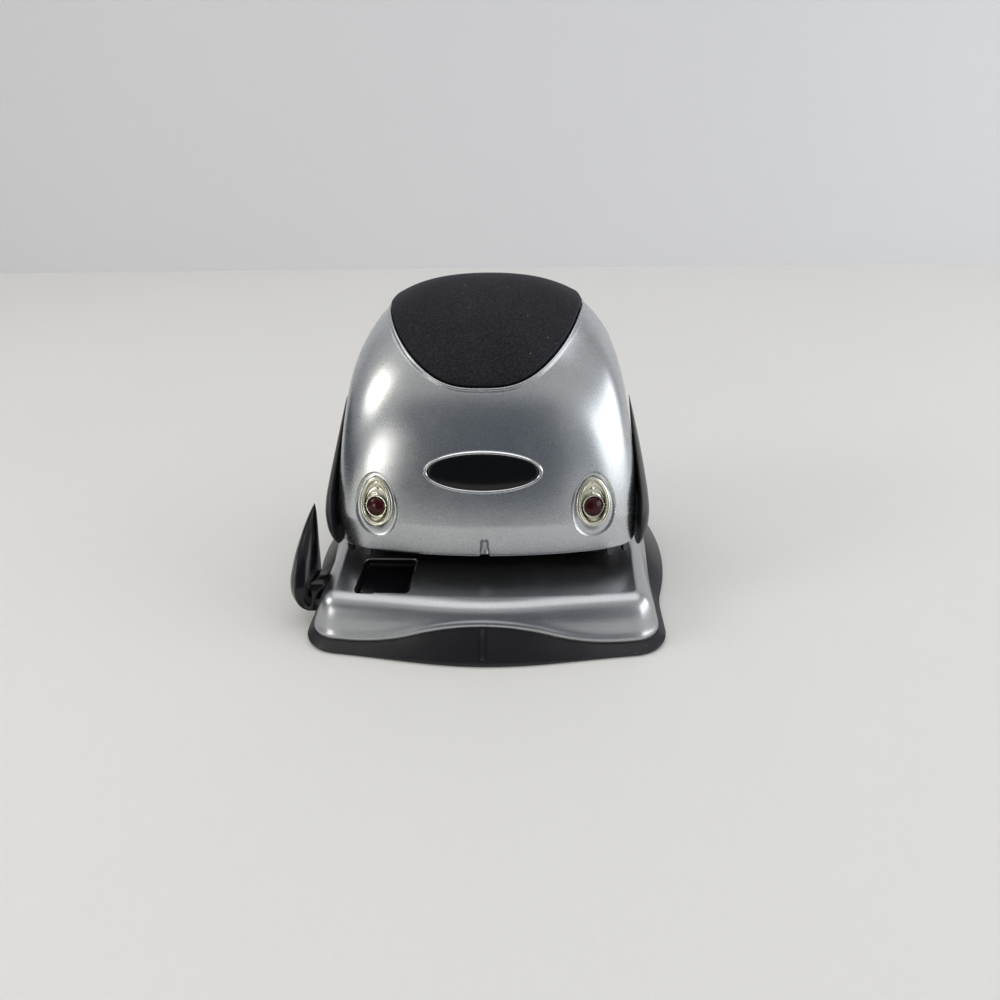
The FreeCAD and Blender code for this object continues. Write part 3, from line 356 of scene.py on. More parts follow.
def trimmed(points, faces, field):
    # keeps the part of a triangle mesh where the field is above 0
    inside = field > 0
    count = inside[faces].sum(1)
    kept = [faces[count == 3]]
    added = []
    edgeIndex = {}

    def crossing(first, second):
        key = (min(first, second), max(first, second))
        if key not in edgeIndex:
            share = field[first] / (field[first] - field[second])
            edgeIndex[key] = len(points) + len(added)
            added.append(points[first] + (points[second] - points[first]) * share)
        return edgeIndex[key]

    cut = []
    for face in faces[(count == 1) | (count == 2)]:
        lone = inside[face].sum() == 1
        while inside[face[0]] != lone or inside[face[1]] == lone or inside[face[2]] == lone:
            face = np.roll(face, 1)
        first, second, third = (int(corner) for corner in face)
        low, high = crossing(first, second), crossing(first, third)
        cut += [(first, low, high)] if lone else [(low, second, third), (low, third, high)]
    kept.append(np.array(cut, int).reshape(-1, 3))
    return np.concatenate([points, np.array(added).reshape(-1, 3)]), np.concatenate(kept)


def triangles(faces):
    return np.concatenate([faces[:, [0, 1, 2]], faces[:, [0, 2, 3]]])


# The faces' own frames: outward, right and up along the leaning front
def faceFrame(across, height, turn=0.0):
    spot = castOut((across, dome["middle"], height), (0, -1, 0))
    lean = math.radians(dome["faceTurn"])
    sideways = math.radians(turn)
    right = np.array([math.cos(sideways), math.sin(sideways), 0])
    flat = math.cos(lean)
    outward = np.array([math.sin(sideways) * flat, -math.cos(sideways) * flat, math.sin(lean)])
    return spot, right, np.cross(outward, right), outward


eye = {
    "across": 40.0, "height": 48.5, "turn": 14.0, "halfWidth": 6.6, "halfHeight": 9.6, "egg": 0.13,
    "dishWidth": 1.95, "dishLow": 1.9, "dishDepth": 1.3, "dishCurve": 2.4, "dishWall": 1.6,
    "bandWidth": 2.1, "bowlDepth": 1.7, "bowlEdge": 0.6, "bowlGap": 0.62, "reach": 14, "steps": 120,
    "jewelRadius": 3.5, "jewelDrop": 1.7, "jewelBase": -1.1, "jewelRise": 1.7, "jewelStem": 1.4,
    "band": ((0.0, -2.4), (0.0, -1.2), (0.08, -0.8), (0.25, -0.45), (0.55, -0.2), (0.95, -0.08),
             (1.2, -0.1), (1.34, -0.22), (1.42, -0.2), (1.5, 0.06), (1.62, 0.16), (1.74, 0.08), (1.85, -0.2)),
    # pit: profile of the black dots painted as the notches' shade
    "pit": ((0.34, -0.2), (0.32, 0.85), (0.16, 0.92), (0.001, 0.92)),
}


def eggLoop(grow):
    angles = np.linspace(0, 2 * math.pi, eye["steps"], endpoint=False)
    swell = 1 - eye["egg"] * np.sin(angles)
    low = eye["dishLow"] * min(max(grow / eye["dishWidth"], 0), 1)
    across = (eye["halfWidth"] + grow) * np.cos(angles) * swell
    return across, (eye["halfHeight"] + grow + low / 2) * np.sin(angles) - low / 2


def eggGap(across, up):
    # roughly how far each spot lies outside the headlight's egg outline
    gap = np.zeros_like(across)
    for turn in range(8):
        low = eye["dishLow"] * np.clip(gap / eye["dishWidth"], 0, 1) / 2
        tall = np.maximum(eye["halfHeight"] + gap + low, 0.5)
        rise = up + low
        wide = np.maximum(eye["halfWidth"] + gap, 0.5) * (1 - eye["egg"] * np.clip(rise / tall, -1, 1))
        ratio = np.sqrt((across / wide) ** 2 + (rise / tall) ** 2)
        gap = gap + (ratio - 1) * np.hypot(across, up) / np.maximum(ratio, 1e-6)
    return gap


def ringAt(frame, across, up, lift):
    spot, right, upward, outward = frame
    return spot + across[..., None] * right + up[..., None] * upward + np.asarray(lift)[..., None] * outward


# Grip pad: its outline on the dome, first the tilted front and then the rear seen from above
gripPad = {
    "halfWidth": 35.8, "tip": 28.7, "corner": 71.3, "rear": 46.0, "tilt": 35.0, "height": 1.9,
    "below": 45, "round": 1.3, "steps": 280, "rings": 26,
}


def padLoop():
    tilt = math.radians(gripPad["tilt"])
    angles = np.linspace(-math.pi / 2, math.pi / 2, 241)
    x = gripPad["halfWidth"] * np.sin(angles)
    rise = np.abs(np.sin(angles))
    rise = gripPad["tip"] + (gripPad["corner"] - gripPad["tip"]) * (0.76 * rise ** 2.8 + 0.24 * rise ** 14)
    flat, steep, below = math.cos(tilt), math.sin(tilt), gripPad["below"]
    origins = np.stack([x, rise * flat - below * steep, rise * steep + below * flat], -1)
    front = castOut(origins, (0, -steep, flat))
    start = (gripPad["corner"] - dome["top"] * math.sin(tilt)) / math.cos(tilt) + 4
    angles = np.linspace(math.pi / 2, -math.pi / 2, 161)
    y = start + (gripPad["rear"] - start) * np.abs(np.cos(angles)) ** 0.8
    level = np.full_like(y, dome["core"][2])
    rear = castOut(np.stack([gripPad["halfWidth"] * np.sin(angles), y, level], -1), (0, 0, 1))
    loop = np.concatenate([front, rear[1:-1]])
    loop = softened(evened(np.concatenate([loop, loop[:1]]), gripPad["steps"]), 3)
    return castOut(core, unit(loop - core))


def loopFrame(loop, centre):
    along = unit(np.roll(loop, -1, 0) - np.roll(loop, 1, 0))
    normal = skinNormals(loop)
    outward = unit(np.cross(along, normal))
    flip = np.sign(np.sum(outward * (loop - centre), -1, keepdims=True))
    return outward * np.where(flip == 0, 1, flip), normal


outlineOfPad = padLoop()
padCentre = castOut(core, unit(outlineOfPad.mean(0) - core))
padOut, padNormal = loopFrame(outlineOfPad, padCentre)


def padGap(points):
    # signed distance outside the grip pad's outline, by directions from the core
    axis = unit(padCentre - core)
    right = np.array([1.0, 0, 0])
    upward = np.cross(axis, right)

    def polar(spots):
        ways = unit(spots - core)
        flat = np.arccos(np.clip(ways @ axis, -1, 1))
        return flat, np.arctan2(ways @ upward, ways @ right)

    edgeFlat, edgeTurn = polar(outlineOfPad)
    order = np.argsort(edgeTurn)
    flat, turn = polar(points)
    limit = np.interp(turn, edgeTurn[order], edgeFlat[order], period=2 * math.pi)
    slope = np.gradient(edgeFlat[order], edgeTurn[order])
    tilt = np.interp(turn, edgeTurn[order], slope, period=2 * math.pi) / np.maximum(np.sin(limit), 0.1)
    return (flat - limit) * np.linalg.norm(points - core, axis=-1) / np.sqrt(1 + tilt ** 2)


# Lever cover: a pressed skin from seam to seam, with rolled edges, a dish for each headlight
# and a bead round the pad
cover = {
    "column": 0.011, "row": 0.8, "seamRoll": 0.6, "mark": (0.0, 34.2), "markWidth": 1.9, "markDepth": 1.4,
    "beadGap": 0.4, "beadWidth": 1.5, "beadHeight": 0.9, "trimAt": 2.25, "bendFrom": 60, "crown": 84,
    "linerStep": 4, "linerTrim": 0.3,
}


def markDepth(spots):
    x, z = spots[..., 0], spots[..., 2]
    away = np.hypot(x - cover["mark"][0], np.maximum(z - cover["mark"][1], 0))
    wide = cover["markWidth"] * (1 - 0.25 * np.clip((z - dome["lip"]) / 8, 0, 1))
    return cover["markDepth"] * np.clip(1 - (away / wide) ** 2, 0, 1) ** 0.8


def coverGrid():
    roll = cover["seamRoll"]
    foot, crease = dome["lip"] + roll, dome["crease"]
    rise = dome["top"] - dome["foot"]
    shoulder = math.asin((cover["bendFrom"] - dome["foot"]) / rise)
    crown = math.radians(cover["crown"])
    heights = np.concatenate([
        np.arange(foot, crease - 1.6, 0.6),
        np.arange(crease - 1.6, crease + 2.0, 0.22),
        np.arange(crease + 2.0, cover["bendFrom"], cover["row"]),
        dome["foot"] + rise * np.sin(np.arange(shoulder, crown, cover["row"] / rise)),
    ])[::-1]
    sides = seamY(heights) - roll
    edge = castOut(np.stack([0 * heights, sides, heights], -1), (1, 0, 0))
    widest = np.arctan2(edge[:, 0], dome["middle"] - edge[:, 1])
    shares = [np.arange(0, 1, cover["column"]), np.arange(0, 0.06, 0.0035), [1]]    # finer at the notch
    shares = np.unique(np.concatenate(shares))
    shares = np.concatenate([-shares[:0:-1], shares])
    turns = widest[:, None] * shares[None, :]
    origins = np.stack([0 * turns, 0 * turns + dome["middle"], heights[:, None] + 0 * turns], -1)
    grid = castOut(origins, np.stack([np.sin(turns), -np.cos(turns), 0 * turns], -1))
    return grid - skinNormals(grid) * markDepth(grid)[..., None]


def frames():
    return [faceFrame(side * eye["across"], eye["height"], side * eye["turn"]) for side in (-1, 1)]


def dishGrid(frame):
    rings = []
    spot, right, upward, outward = frame
    across, up = eggLoop(eye["dishWidth"])
    rim = castOut(ringAt(frame, across, up, 0 * up - dome["behindFace"]), outward)
    lift = (rim - spot) @ outward
    for share in np.linspace(0, 1, 15):
        across, up = eggLoop(eye["dishWidth"] * (1 - share))
        fall = 1 - (1 - share) ** eye["dishCurve"]
        depth = lift * (1 - share) - eye["dishDepth"] * fall
        rings.append(ringAt(frame, across, up, depth))
    across, up = eggLoop(0)
    rings.append(ringAt(frame, across, up, 0 * up - eye["dishDepth"] - eye["dishWall"]))
    return np.array(rings)


def sweptGrid(loop, outward, normal, profile):
    return np.stack([loop + outward * away + normal * lift for away, lift in profile], 0)


def openEyes(points, faces, margin):
    for spot, right, upward, outward in frames():
        away = points - spot
        gap = eggGap(away @ right, away @ upward)
        gap = np.where(np.abs(away @ outward) > eye["reach"], 50, gap)
        points, faces = trimmed(points, faces, gap - margin)
    return points, faces


def makeCover():
    grid = coverGrid()
    skin = rolled(grid, cover["seamRoll"])
    skin = rolled(skin.transpose(1, 0, 2), cover["seamRoll"]).transpose(1, 0, 2)
    skin = rolled(skin[:, ::-1].transpose(1, 0, 2), cover["seamRoll"]).transpose(1, 0, 2)
    points, faces = patch(skin)
    points, faces = trimmed(points, triangles(faces), padGap(points) - cover["trimAt"])
    patches = [openEyes(points, faces, eye["dishWidth"])]
    for frame in frames():
        patches.append(patch(dishGrid(frame), closedColumns=True))
    coarse = grid[::cover["linerStep"], ::cover["linerStep"]]
    points, faces = patch(coarse - skinNormals(coarse) * dome["gauge"], flipped=True)
    points, faces = trimmed(points, triangles(faces), padGap(points) - cover["beadGap"])
    patches.append(openEyes(points, faces, cover["linerTrim"]))
    # bead round the pad, in front of the seam
    gap, wide, high = cover["beadGap"], cover["beadWidth"], cover["beadHeight"]
    profile = [(gap + wide + 0.75, -0.02), (gap + wide + 0.5, -0.06), (gap + wide + 0.22, -0.12)]
    for angle in np.linspace(0, math.pi, 11):
        profile.append((gap + wide / 2 + wide / 2 * math.cos(angle), high * math.sin(angle) ** 0.8))
    profile += [(gap, -1.0)]
    front = outlineOfPad[:, 1] < seamY(outlineOfPad[:, 2])
    start = int(np.argmax(front & ~np.roll(front, 1)))
    order = np.roll(np.arange(len(front)), -start)
    order = order[front[order]]
    bead = sweptGrid(outlineOfPad[order], padOut[order], padNormal[order], profile)
    patches.append(patch(bead))
    makePiece("cover_skin", patches, satinCover, "lever", "cover_silver", ["lever_cover"])


makeCover()


def makePad():
    height = gripPad["height"]
    profile = [(0.9, -0.9), (0.12, -0.95), (0.0, -0.6), (-0.02, 0.35)]
    for angle in np.linspace(0, math.pi / 2, 7)[1:]:
        away = -gripPad["round"] * (1 - math.cos(angle))
        profile.append((away, 0.35 + (height - 0.35) * math.sin(angle)))
    profile.append((-2.2, height))
    edge = sweptGrid(outlineOfPad, padOut, padNormal, profile)
    last = edge[-1]
    axis = unit(padCentre - core)
    rings = [edge]
    ways = unit(last - core)
    for share in np.linspace(1, 0, gripPad["rings"])[1:]:
        toward = unit(axis * (1 - share) + ways * share)
        spots = castOut(core, toward)
        rings.append((spots + skinNormals(spots) * height)[None])
    grid = np.concatenate(rings)
    pad = makeShell("grip_skin", grid, padGrain, "lever", "pad_rubber", ["grip_pad"], 60)


makePad()


# Oval badge, left bare: a double bright rim and a glossy domed plate
badge = {
    "height": 61.5, "halfWidth": 21.5, "halfHeight": 8.0, "rimWidth": 1.5, "overlap": 0.12, "steps": 160,
    "rim": ((0.0, -0.4), (0.0, 0.5), (0.06, 0.9), (0.2, 1.2), (0.42, 1.38), (0.62, 1.3), (0.78, 1.0),
            (0.84, 0.75), (0.9, 0.75), (0.98, 1.0), (1.14, 1.12), (1.3, 1.0), (1.42, 0.7), (1.5, 0.3)),
    "edgeShares": (1, 0.994, 0.986, 0.975, 0.96), "edge": 0.035, "sunk": 0.65, "level": 0.75, "swell": 0.55,
}


def ovalLoop(inset):
    angles = np.linspace(0, 2 * math.pi, badge["steps"], endpoint=False)
    return (badge["halfWidth"] - inset) * np.cos(angles), (badge["halfHeight"] - inset) * np.sin(angles)


def onFace(frame, across, up, lift):
    spot, right, upward, outward = frame
    base = castOut(ringAt(frame, across, up, 0 * up - dome["behindFace"]), outward)
    return base + outward * np.asarray(lift)[..., None]


def makeBadge():
    place = faceFrame(0, badge["height"])
    rings = []
    for inset, lift in badge["rim"]:
        across, up = ovalLoop(inset)
        rings.append(onFace(place, across, up, 0 * up + lift))
    makeShell("badge_ring", rings, brightTrim, "lever", "chrome", ["badge_rim"])
    rings = []
    across, up = ovalLoop(badge["rimWidth"] - badge["overlap"])
    for share in np.concatenate([badge["edgeShares"], np.linspace(0.93, 0, 14)]):
        edge = max(0, 1 - (1 - share) / badge["edge"])
        lift = badge["level"] - badge["sunk"] * edge ** 2.2 + badge["swell"] * (1 - share ** 3)
        rings.append(onFace(place, across * share, up * share, 0 * up + lift))
    makeShell("badge_gloss", rings, badgeBlack, "lever", "black_gloss", ["badge_plate"])


makeBadge()


# Headlights: a moulded band, a fine bright edge, an arched bowl and a red jewel in a ring whose two notches
# are black dots of painted shade
def makeEye(name, frame):
    angles = np.linspace(0, 2 * math.pi, eye["steps"], endpoint=False)
    cosine, sine = np.cos(angles), np.sin(angles)
    size, fall, base = eye["jewelRadius"], eye["jewelDrop"], eye["jewelBase"]

    def circleAt(radius, lift, centre=0.0):
        return ringAt(frame, centre + radius * cosine, radius * sine - fall, 0 * sine + lift)

    rings = []
    for inset, lift in eye["band"] + ((eye["bandWidth"], -eye["bowlEdge"]),):
        across, up = eggLoop(-inset)
        rings.append(ringAt(frame, across, up, 0 * up + lift))
    radius = size + eye["bowlGap"]
    over = np.clip(sine, 0, 1)
    for share in np.linspace(0, 1, 15)[1:]:
        steps = 0.3 * np.abs(np.sin(2.5 * math.pi * share)) * over ** 0.5    # arches above the jewel
        rib = 0.22 * np.exp(-(cosine / 0.09) ** 2) * over * math.sin(math.pi * share)
        sunk = (eye["bowlDepth"] - eye["bowlEdge"]) * math.sin(math.pi / 2 * share) ** 0.8
        wide = across * (1 - share) + radius * cosine * share
        high = up * (1 - share) + (radius * sine - fall) * share
        rings.append(ringAt(frame, wide, high, -eye["bowlEdge"] - sunk + steps + rib))
    rings.append(circleAt(radius, -eye["bowlDepth"] - 0.9))
    makeShell("lens_" + name, rings, creamBowl, "lever", "chrome", ["reflector_" + name], 50)
    jewel = [circleAt(size, base - eye["jewelStem"])]
    for share in np.linspace(1, 0, 14):
        jewel.append(circleAt(size * share, base + eye["jewelRise"] * math.sqrt(1 - share ** 2)))
    makeShell("jewel_glass_" + name, jewel, redGlass, "lever", "red_jewel", ["jewel_" + name])
    notch = np.exp(-(sine / 0.1) ** 2)
    ring = []
    for turn in np.linspace(0, 2 * math.pi, 11)[:-1]:
        wide = size + 0.32 + 0.26 * math.cos(turn) + 0.5 * notch * (math.cos(turn) > 0.2)
        ring.append(circleAt(wide, base + 0.35 + 0.35 * math.sin(turn) + 0.15 * notch))
    patches = [patch(np.array(ring), closedRows=True, closedColumns=True)]
    makePiece("jewel_ring_" + name, patches, creamBowl, "lever", "chrome")
    # black dots on the ring's lumps: painted shade standing in for the ring's two notches
    notchShades = []
    for side in (-1, 1):
        pit = [circleAt(wide, base + lift, side * (size + 0.72)) for wide, lift in eye["pit"]]
        notchShades.append(patch(np.array(pit), closedColumns=True))
    makePiece("jewel_notches_" + name, notchShades, badgeBlack, "lever", "black_gloss")


for name, frameHere in zip(("left", "right"), frames()):
    makeEye(name, frameHere)


# Base plate: a pressed skin with a soft bend, a skirt that leans out and a fine lip along its wavy edge
plate = {
    "halfWidth": 62.7, "front": 62.5, "rear": 57.0, "bow": 5.0, "corner": 9.0, "top": 19.0, "gauge": 1.2,
    "skirtLow": 5.0, "skirtHigh": 13.6, "frontWave": 50.0, "sideWave": 37.0, "sideWaveMiddle": 8.0,
    "window": (-47.5, -27.0, -53.1, -29.0), "windowCorner": 2.0, "dieHole": 3.2, "dieAcross": 40,
    "slot": (-49.3, -27.2, 11.7, 14.7), "slotSide": -50, "flatFrom": 17, "steps": 560, "rings": 60,
    "bend": ((0.9, -0.01), (0.2, -0.02), (-0.36, -0.005), (-0.45, 0.02), (-0.405, 0.05), (-0.135, 0.085),
             (0.25, 0.14), (0.6, 0.22), (0.95, 0.32), (1.3, 0.44), (1.75, 0.56), (2.3, 0.67), (2.95, 0.77),
             (3.7, 0.85), (4.6, 0.915), (5.6, 0.96), (6.7, 0.99), (7.3, 1.0), (7.7, 1.0)),
}


def plateStations():
    # spots round the plate's outline with their outward ways, from the middle of the rear
    half, corner, bowed = plate["halfWidth"], plate["corner"], plate["bow"]
    bow = (half ** 2 + bowed ** 2) / (2 * bowed)
    rise = math.sqrt((bow - corner) ** 2 - (half - corner) ** 2)
    meet = math.atan2(rise, half - corner)
    quarter = []
    for sign, reach in ((1, plate["rear"]), (-1, plate["front"])):
        turns = np.linspace(math.pi / 2, meet, 60)
        ends = np.stack([bow * np.cos(turns), reach - bow + bow * np.sin(turns)], -1)
        corners = np.linspace(meet, 0, 26)[1:]
        across = half - corner + corner * np.cos(corners)
        along = reach - bow + rise + corner * np.sin(corners)
        spots = np.concatenate([ends, np.stack([across, along], -1)])
        turns = np.concatenate([turns, corners])
        ways = np.stack([np.cos(turns), np.sin(turns)], -1)
        piece = np.concatenate([spots, ways], -1) * (1, sign, 1, sign)
        quarter.append(piece if sign > 0 else piece[::-1])
    right = np.concatenate(quarter)
    left = right[-2:0:-1] * (-1, 1, -1, 1)
    loop = np.concatenate([right, left, right[:1]])
    spread = softened(evened(loop, plate["steps"], 2), 4)
    ways = np.concatenate([unit(spread[:, 2:]), np.zeros((len(spread), 1))], -1)
    return np.concatenate([spread[:, :2], np.zeros((len(spread), 1))], -1), ways


def waveRise(along, halfLength):
    rise = plate["skirtHigh"] - plate["skirtLow"]
    radius = ((halfLength / 2) ** 2 + (rise / 2) ** 2) / rise
    away = np.abs(along)
    low = radius - np.sqrt(np.maximum(radius ** 2 - np.clip(halfLength - away, 0, halfLength) ** 2, 0))
    high = rise - radius + np.sqrt(np.maximum(radius ** 2 - np.minimum(away, radius) ** 2, 0))
    return plate["skirtLow"] + np.where(away > halfLength / 2, low, high)


def skirtEdge(spots):
    onSide = np.abs(spots[:, 0]) > plate["halfWidth"] - 0.5 * plate["corner"]
    atEnd = waveRise(spots[:, 0], plate["frontWave"])
    return np.where(onSide, waveRise(spots[:, 1] - plate["sideWaveMiddle"], plate["sideWave"]), atEnd)


def boxGap(across, along, low, high, near, far, corner):
    # signed distance outside a rounded rectangle
    dx = np.abs(across - (low + high) / 2) - (high - low) / 2 + corner
    dy = np.abs(along - (near + far) / 2) - (far - near) / 2 + corner
    return np.hypot(np.maximum(dx, 0), np.maximum(dy, 0)) + np.minimum(np.maximum(dx, dy), 0) - corner


def makePlate():
    spots, ways = plateStations()
    edge = skirtEdge(spots)
    rows = []
    for inset, share in plate["bend"]:
        heights = edge + (plate["top"] - edge) * share
        rows.append(spots - ways * inset + np.stack([0 * edge, 0 * edge, heights], -1))
    rim = rows[-1]
    middle = np.array([0, (plate["rear"] - plate["front"]) / 2, plate["top"]])
    for share in np.linspace(0, 1, plate["rings"])[1:]:
        rows.append(rim * (1 - share) + middle * share)
    points, faces = patch(np.array(rows), closedColumns=True)
    x, y, z = points.T
    opening = boxGap(x, y, *plate["window"], plate["windowCorner"])
    points, faces = trimmed(points, triangles(faces), np.where(z > plate["flatFrom"], opening, 9))
    for side in (-1, 1):
        x, y, z = points.T
        hole = np.hypot(x - side * plate["dieAcross"], y) - plate["dieHole"]
        points, faces = trimmed(points, faces, hole)
    x, y, z = points.T
    slot = boxGap(y, z, *plate["slot"], 0.3)
    points, faces = trimmed(points, faces, np.where(x < plate["slotSide"], slot, 9))
    skin = makePiece("plate_skin", [(points, faces)], satinPlate, "base", "plate_silver", ["base_plate"], 50)
    thick = skin.modifiers.new("gauge", "SOLIDIFY")
    thick.thickness = plate["gauge"] * mm
    thick.offset = -1


makePlate()


# Chip tray: a wavy wall that flares to a rolled foot, with a flat floor and a raised mark on its front
tray = {
    "wall": 1.6, "cornerFlare": 4.6, "frontFlare": 8.0, "sideFlare": 10.4, "gap": 0.3, "roll": 1.6,
    "markHalf": 0.75, "markProud": 0.9, "markSides": ((-1.3, 0), (-1, 1), (1, 1), (1.3, 0)),
}


def trayFlare(spots, ways):
    more = tray["frontFlare"] - tray["cornerFlare"]
    tangent = plate["halfWidth"] - plate["corner"]
    share = np.clip(np.abs(spots[:, 0]) / tangent, 0, 1)
    atEnd = tray["cornerFlare"] + more * np.cos(math.pi / 2 * share) ** 2
    share = np.clip(np.abs(spots[:, 1] - plate["sideWaveMiddle"]) / plate["sideWave"], 0, 1)
    atSide = tray["cornerFlare"] + (tray["sideFlare"] - tray["cornerFlare"]) * (1 - share ** 2)
    return softened(np.where(np.abs(ways[:, 0]) > 0.9, atSide, atEnd), 40)


def wallLean(share):
    return share ** 0.92 * 0.97 + 0.03 * math.sin(math.pi / 2 * share)


def makeTray():
    spots, ways = plateStations()
    rim = skirtEdge(spots) - tray["gap"]
    flare = trayFlare(spots, ways)
    rows = []

    def add(reach, height):
        raised = np.stack([0 * rim, 0 * rim, height + 0 * rim], -1)
        rows.append(spots + ways * np.asarray(reach)[..., None] + raised)

    wall, roll = tray["wall"], tray["roll"]
    add(0 * rim - wall, rim)
    add(0 * rim - 0.4, rim)
    add(0 * rim - 0.1, rim - 0.08)
    for share in np.linspace(0.04, 1, 14):
        add(flare * wallLean(share), rim * (1 - share) + roll * share)
    for angle in np.linspace(0, math.pi / 2, 7)[1:]:
        add(flare - roll * 0.55 * (1 - np.cos(angle)), roll * (1 - math.sin(angle)))
    centre = np.array([0, (plate["rear"] - plate["front"]) / 2, 0])
    foot = rows[-1]
    for share in (0.3, 0.65, 1.0):
        rows.append(foot * (1 - share) + centre * share)
    outer = np.array(rows)
    rows = []
    add(0 * rim - wall, rim)
    add(flare - wall, wall)
    floor = rows[-1]
    for share in (0.3, 0.65, 1.0):
        rows.append(floor * (1 - share) + (centre + [0, 0, wall]) * share)
    inner = np.array(rows)
    patches = [patch(outer, closedColumns=True), patch(inner, closedColumns=True, flipped=True)]
    mark = []
    for share in np.linspace(0.1, 0.9, 9):
        height = (plate["skirtHigh"] - tray["gap"]) * (1 - share) + roll * share
        wallY = 0.25 - plate["front"] - tray["frontFlare"] * wallLean(share)
        ends = min(1, (share - 0.1) * 12 + 0.05, (0.9 - share) * 12 + 0.05)
        proud = 0.25 + tray["markProud"] * ends
        mark.append([(tray["markHalf"] * side, wallY - proud * out, height)
                     for side, out in tray["markSides"]])
    patches.append(patch(np.array(mark)))
    makePiece("tray_shell", patches, trayMoulded, "tray", "black_moulding", ["chip_tray"], 50)


makeTray()


# Fin of the paper guide: a curved horn on a short block
horn = {
    "levels": (5.4, 9.2, 14.4, 19.6, 28.0, 35.7, 41.3, 43.2),
    "inner": (65.8, 63.9, 63.6, 63.5, 63.8, 64.2, 64.8, 65.3),
    "outer": (68.6, 73.0, 74.6, 74.3, 72.1, 69.3, 66.8, 65.5),
    "front": (43.0, 47.0, 49.0, 48.5, 44.0, 37.0, 30.0, 27.0),
    "back": (37.0, 31.4, 28.6, 27.8, 27.2, 26.4, 25.9, 26.6),
    "ridge": 0.9, "ridgeAt": 256, "rows": 60, "around": 60,
    "block": ((-68.0, 6.8), (-64.6, 6.8), (-63.6, 7.6), (-63.4, 11.6), (-62.6, 13.6), (-61.6, 15.2),
              (-60.5, 16.6), (-59.9, 17.6), (-60.1, 18.7), (-60.9, 19.3), (-68.0, 19.3)),
    "blockInsets": ((-46.2, 1), (-45.4, 0), (-36.6, 0), (-36.0, 1)),
}


def capped(grid):
    # closes both ends of a tube of points with a row gathered at its middle
    first, last = (end.mean(1, keepdims=True) + 0 * end for end in (grid[:1], grid[-1:]))
    return np.concatenate([first, grid, last])


def makeHorn():
    turns = np.linspace(0, 2 * math.pi, horn["around"], endpoint=False)
    cosine, sine = np.cos(turns), np.sin(turns)
    sharp = np.exp(-((turns - math.radians(horn["ridgeAt"])) / 0.16) ** 2)
    rings = []
    for height in np.linspace(horn["levels"][0], horn["levels"][-1], horn["rows"]):
        inner, outer, front, back = (
            np.interp(height, horn["levels"], horn[key]) for key in ("inner", "outer", "front", "back"))
        small = min(1, (outer - inner) / 4)
        x = -(inner + outer) / 2 + (outer - inner) / 2 * np.sign(cosine) * np.abs(cosine) ** 0.9
        y = -(front + back) / 2 + (front - back) / 2 * sine - horn["ridge"] * small * sharp
        rings.append(np.stack([x, y, height + 0 * x], -1))
    grid = np.array(rings)
    for turn in range(14):
        grid[1:-1] = (grid[:-2] + 2 * grid[1:-1] + grid[2:]) / 4
    block = []
    for y, inset in horn["blockInsets"]:
        block.append([])
        for x, z in horn["block"]:
            inward = 1.2 * inset if x > -65 else 0
            upward = inset * (0.5 if z < 10 else -0.5 if z > 18 else 0)
            block[-1].append((x - inward, y, z + upward))
    patches = [patch(capped(part), closedColumns=True) for part in (grid, np.array(block))]
    makePiece("guide_horn", patches, blackGloss, "guide", "black_gloss", ["guide_claw"], 60)


makeHorn()


# Window: a bevelled black frame set in the plate, with a sunk glossy pane
window = {
    "corner": 2.2, "least": 0.6, "paneInset": 1.55, "paneCorner": 0.8, "paneDrop": 0.82,
    "frame": ((0.0, -0.9), (0.0, -0.1), (0.12, 0.02), (0.35, 0.02), (0.5, -0.08), (1.3, -0.7), (1.42, -0.85)),
}


def boxLoop(low, high, near, far, corner, height):
    points = []
    for index, (x, y) in enumerate(((high, far), (low, far), (low, near), (high, near))):
        middleX, middleY = x + (corner if x == low else -corner), y + (corner if y == near else -corner)
        for turn in np.radians(np.linspace(0, 90, 9) + 90 * index):
            points.append((middleX + corner * math.cos(turn), middleY + corner * math.sin(turn), height))
    return np.array(points)


def makeWindow():
    low, high, near, far = plate["window"]

    def loopAt(inset, height, corner):
        return boxLoop(low + inset, high - inset, near + inset, far - inset, corner, plate["top"] + height)

    rows = [loopAt(inset, height, max(window["corner"] - inset, window["least"]))
            for inset, height in window["frame"]]
    makeShell("window_frame", rows, blackGloss, "base", "black_gloss", ["window_bezel"], 30)
    edge = loopAt(window["paneInset"], -window["paneDrop"], window["paneCorner"])
    centre = edge.mean(0)
    rows = [edge - [0, 0, 0.5]] + [edge * (1 - share) + centre * share for share in (0, 0.5, 1)]
    makeShell("window_glass", rows, blackGloss, "base", "black_gloss", ["window_pane"], 30)


makeWindow()


# Side teardrops, softly domed with a ridge down from the tip
drop = {
    "radius": 16.0, "pivot": (-16.0, 38.0), "tip": (0.0, 77.0), "around": 140, "rings": 16,
    "narrowing": 0.78, "shortening": 0.6, "hubRadius": 6, "hubReach": (49.4, 58.4),
    "levels": (21, 33, 40, 46.5, 53, 63, 70, 77),
    "inner": (58.3, 58.3, 58.3, 58.3, 57.5, 56.3, 55.5, 54.6),
    "outer": (60.4, 62.2, 62.3, 61.6, 60.5, 58.5, 57.0, 55.4),
}


def dropLoop(radius, reach):
    # round end and two tangents to the tip, with evenly spread spots
    pivot, tip = np.array(drop["pivot"]), np.array(drop["tip"])
    upward = (tip - pivot) / np.linalg.norm(tip - pivot)
    across = np.array([upward[1], -upward[0]])
    lean = math.acos(min(radius / reach, 0.999))
    arc = np.linspace(lean, 2 * math.pi - lean, 400)
    spots = [pivot + radius * (math.cos(turn) * upward + math.sin(turn) * across) for turn in arc]
    return evened(np.array(spots + [pivot + reach * upward, spots[0]]), drop["around"])


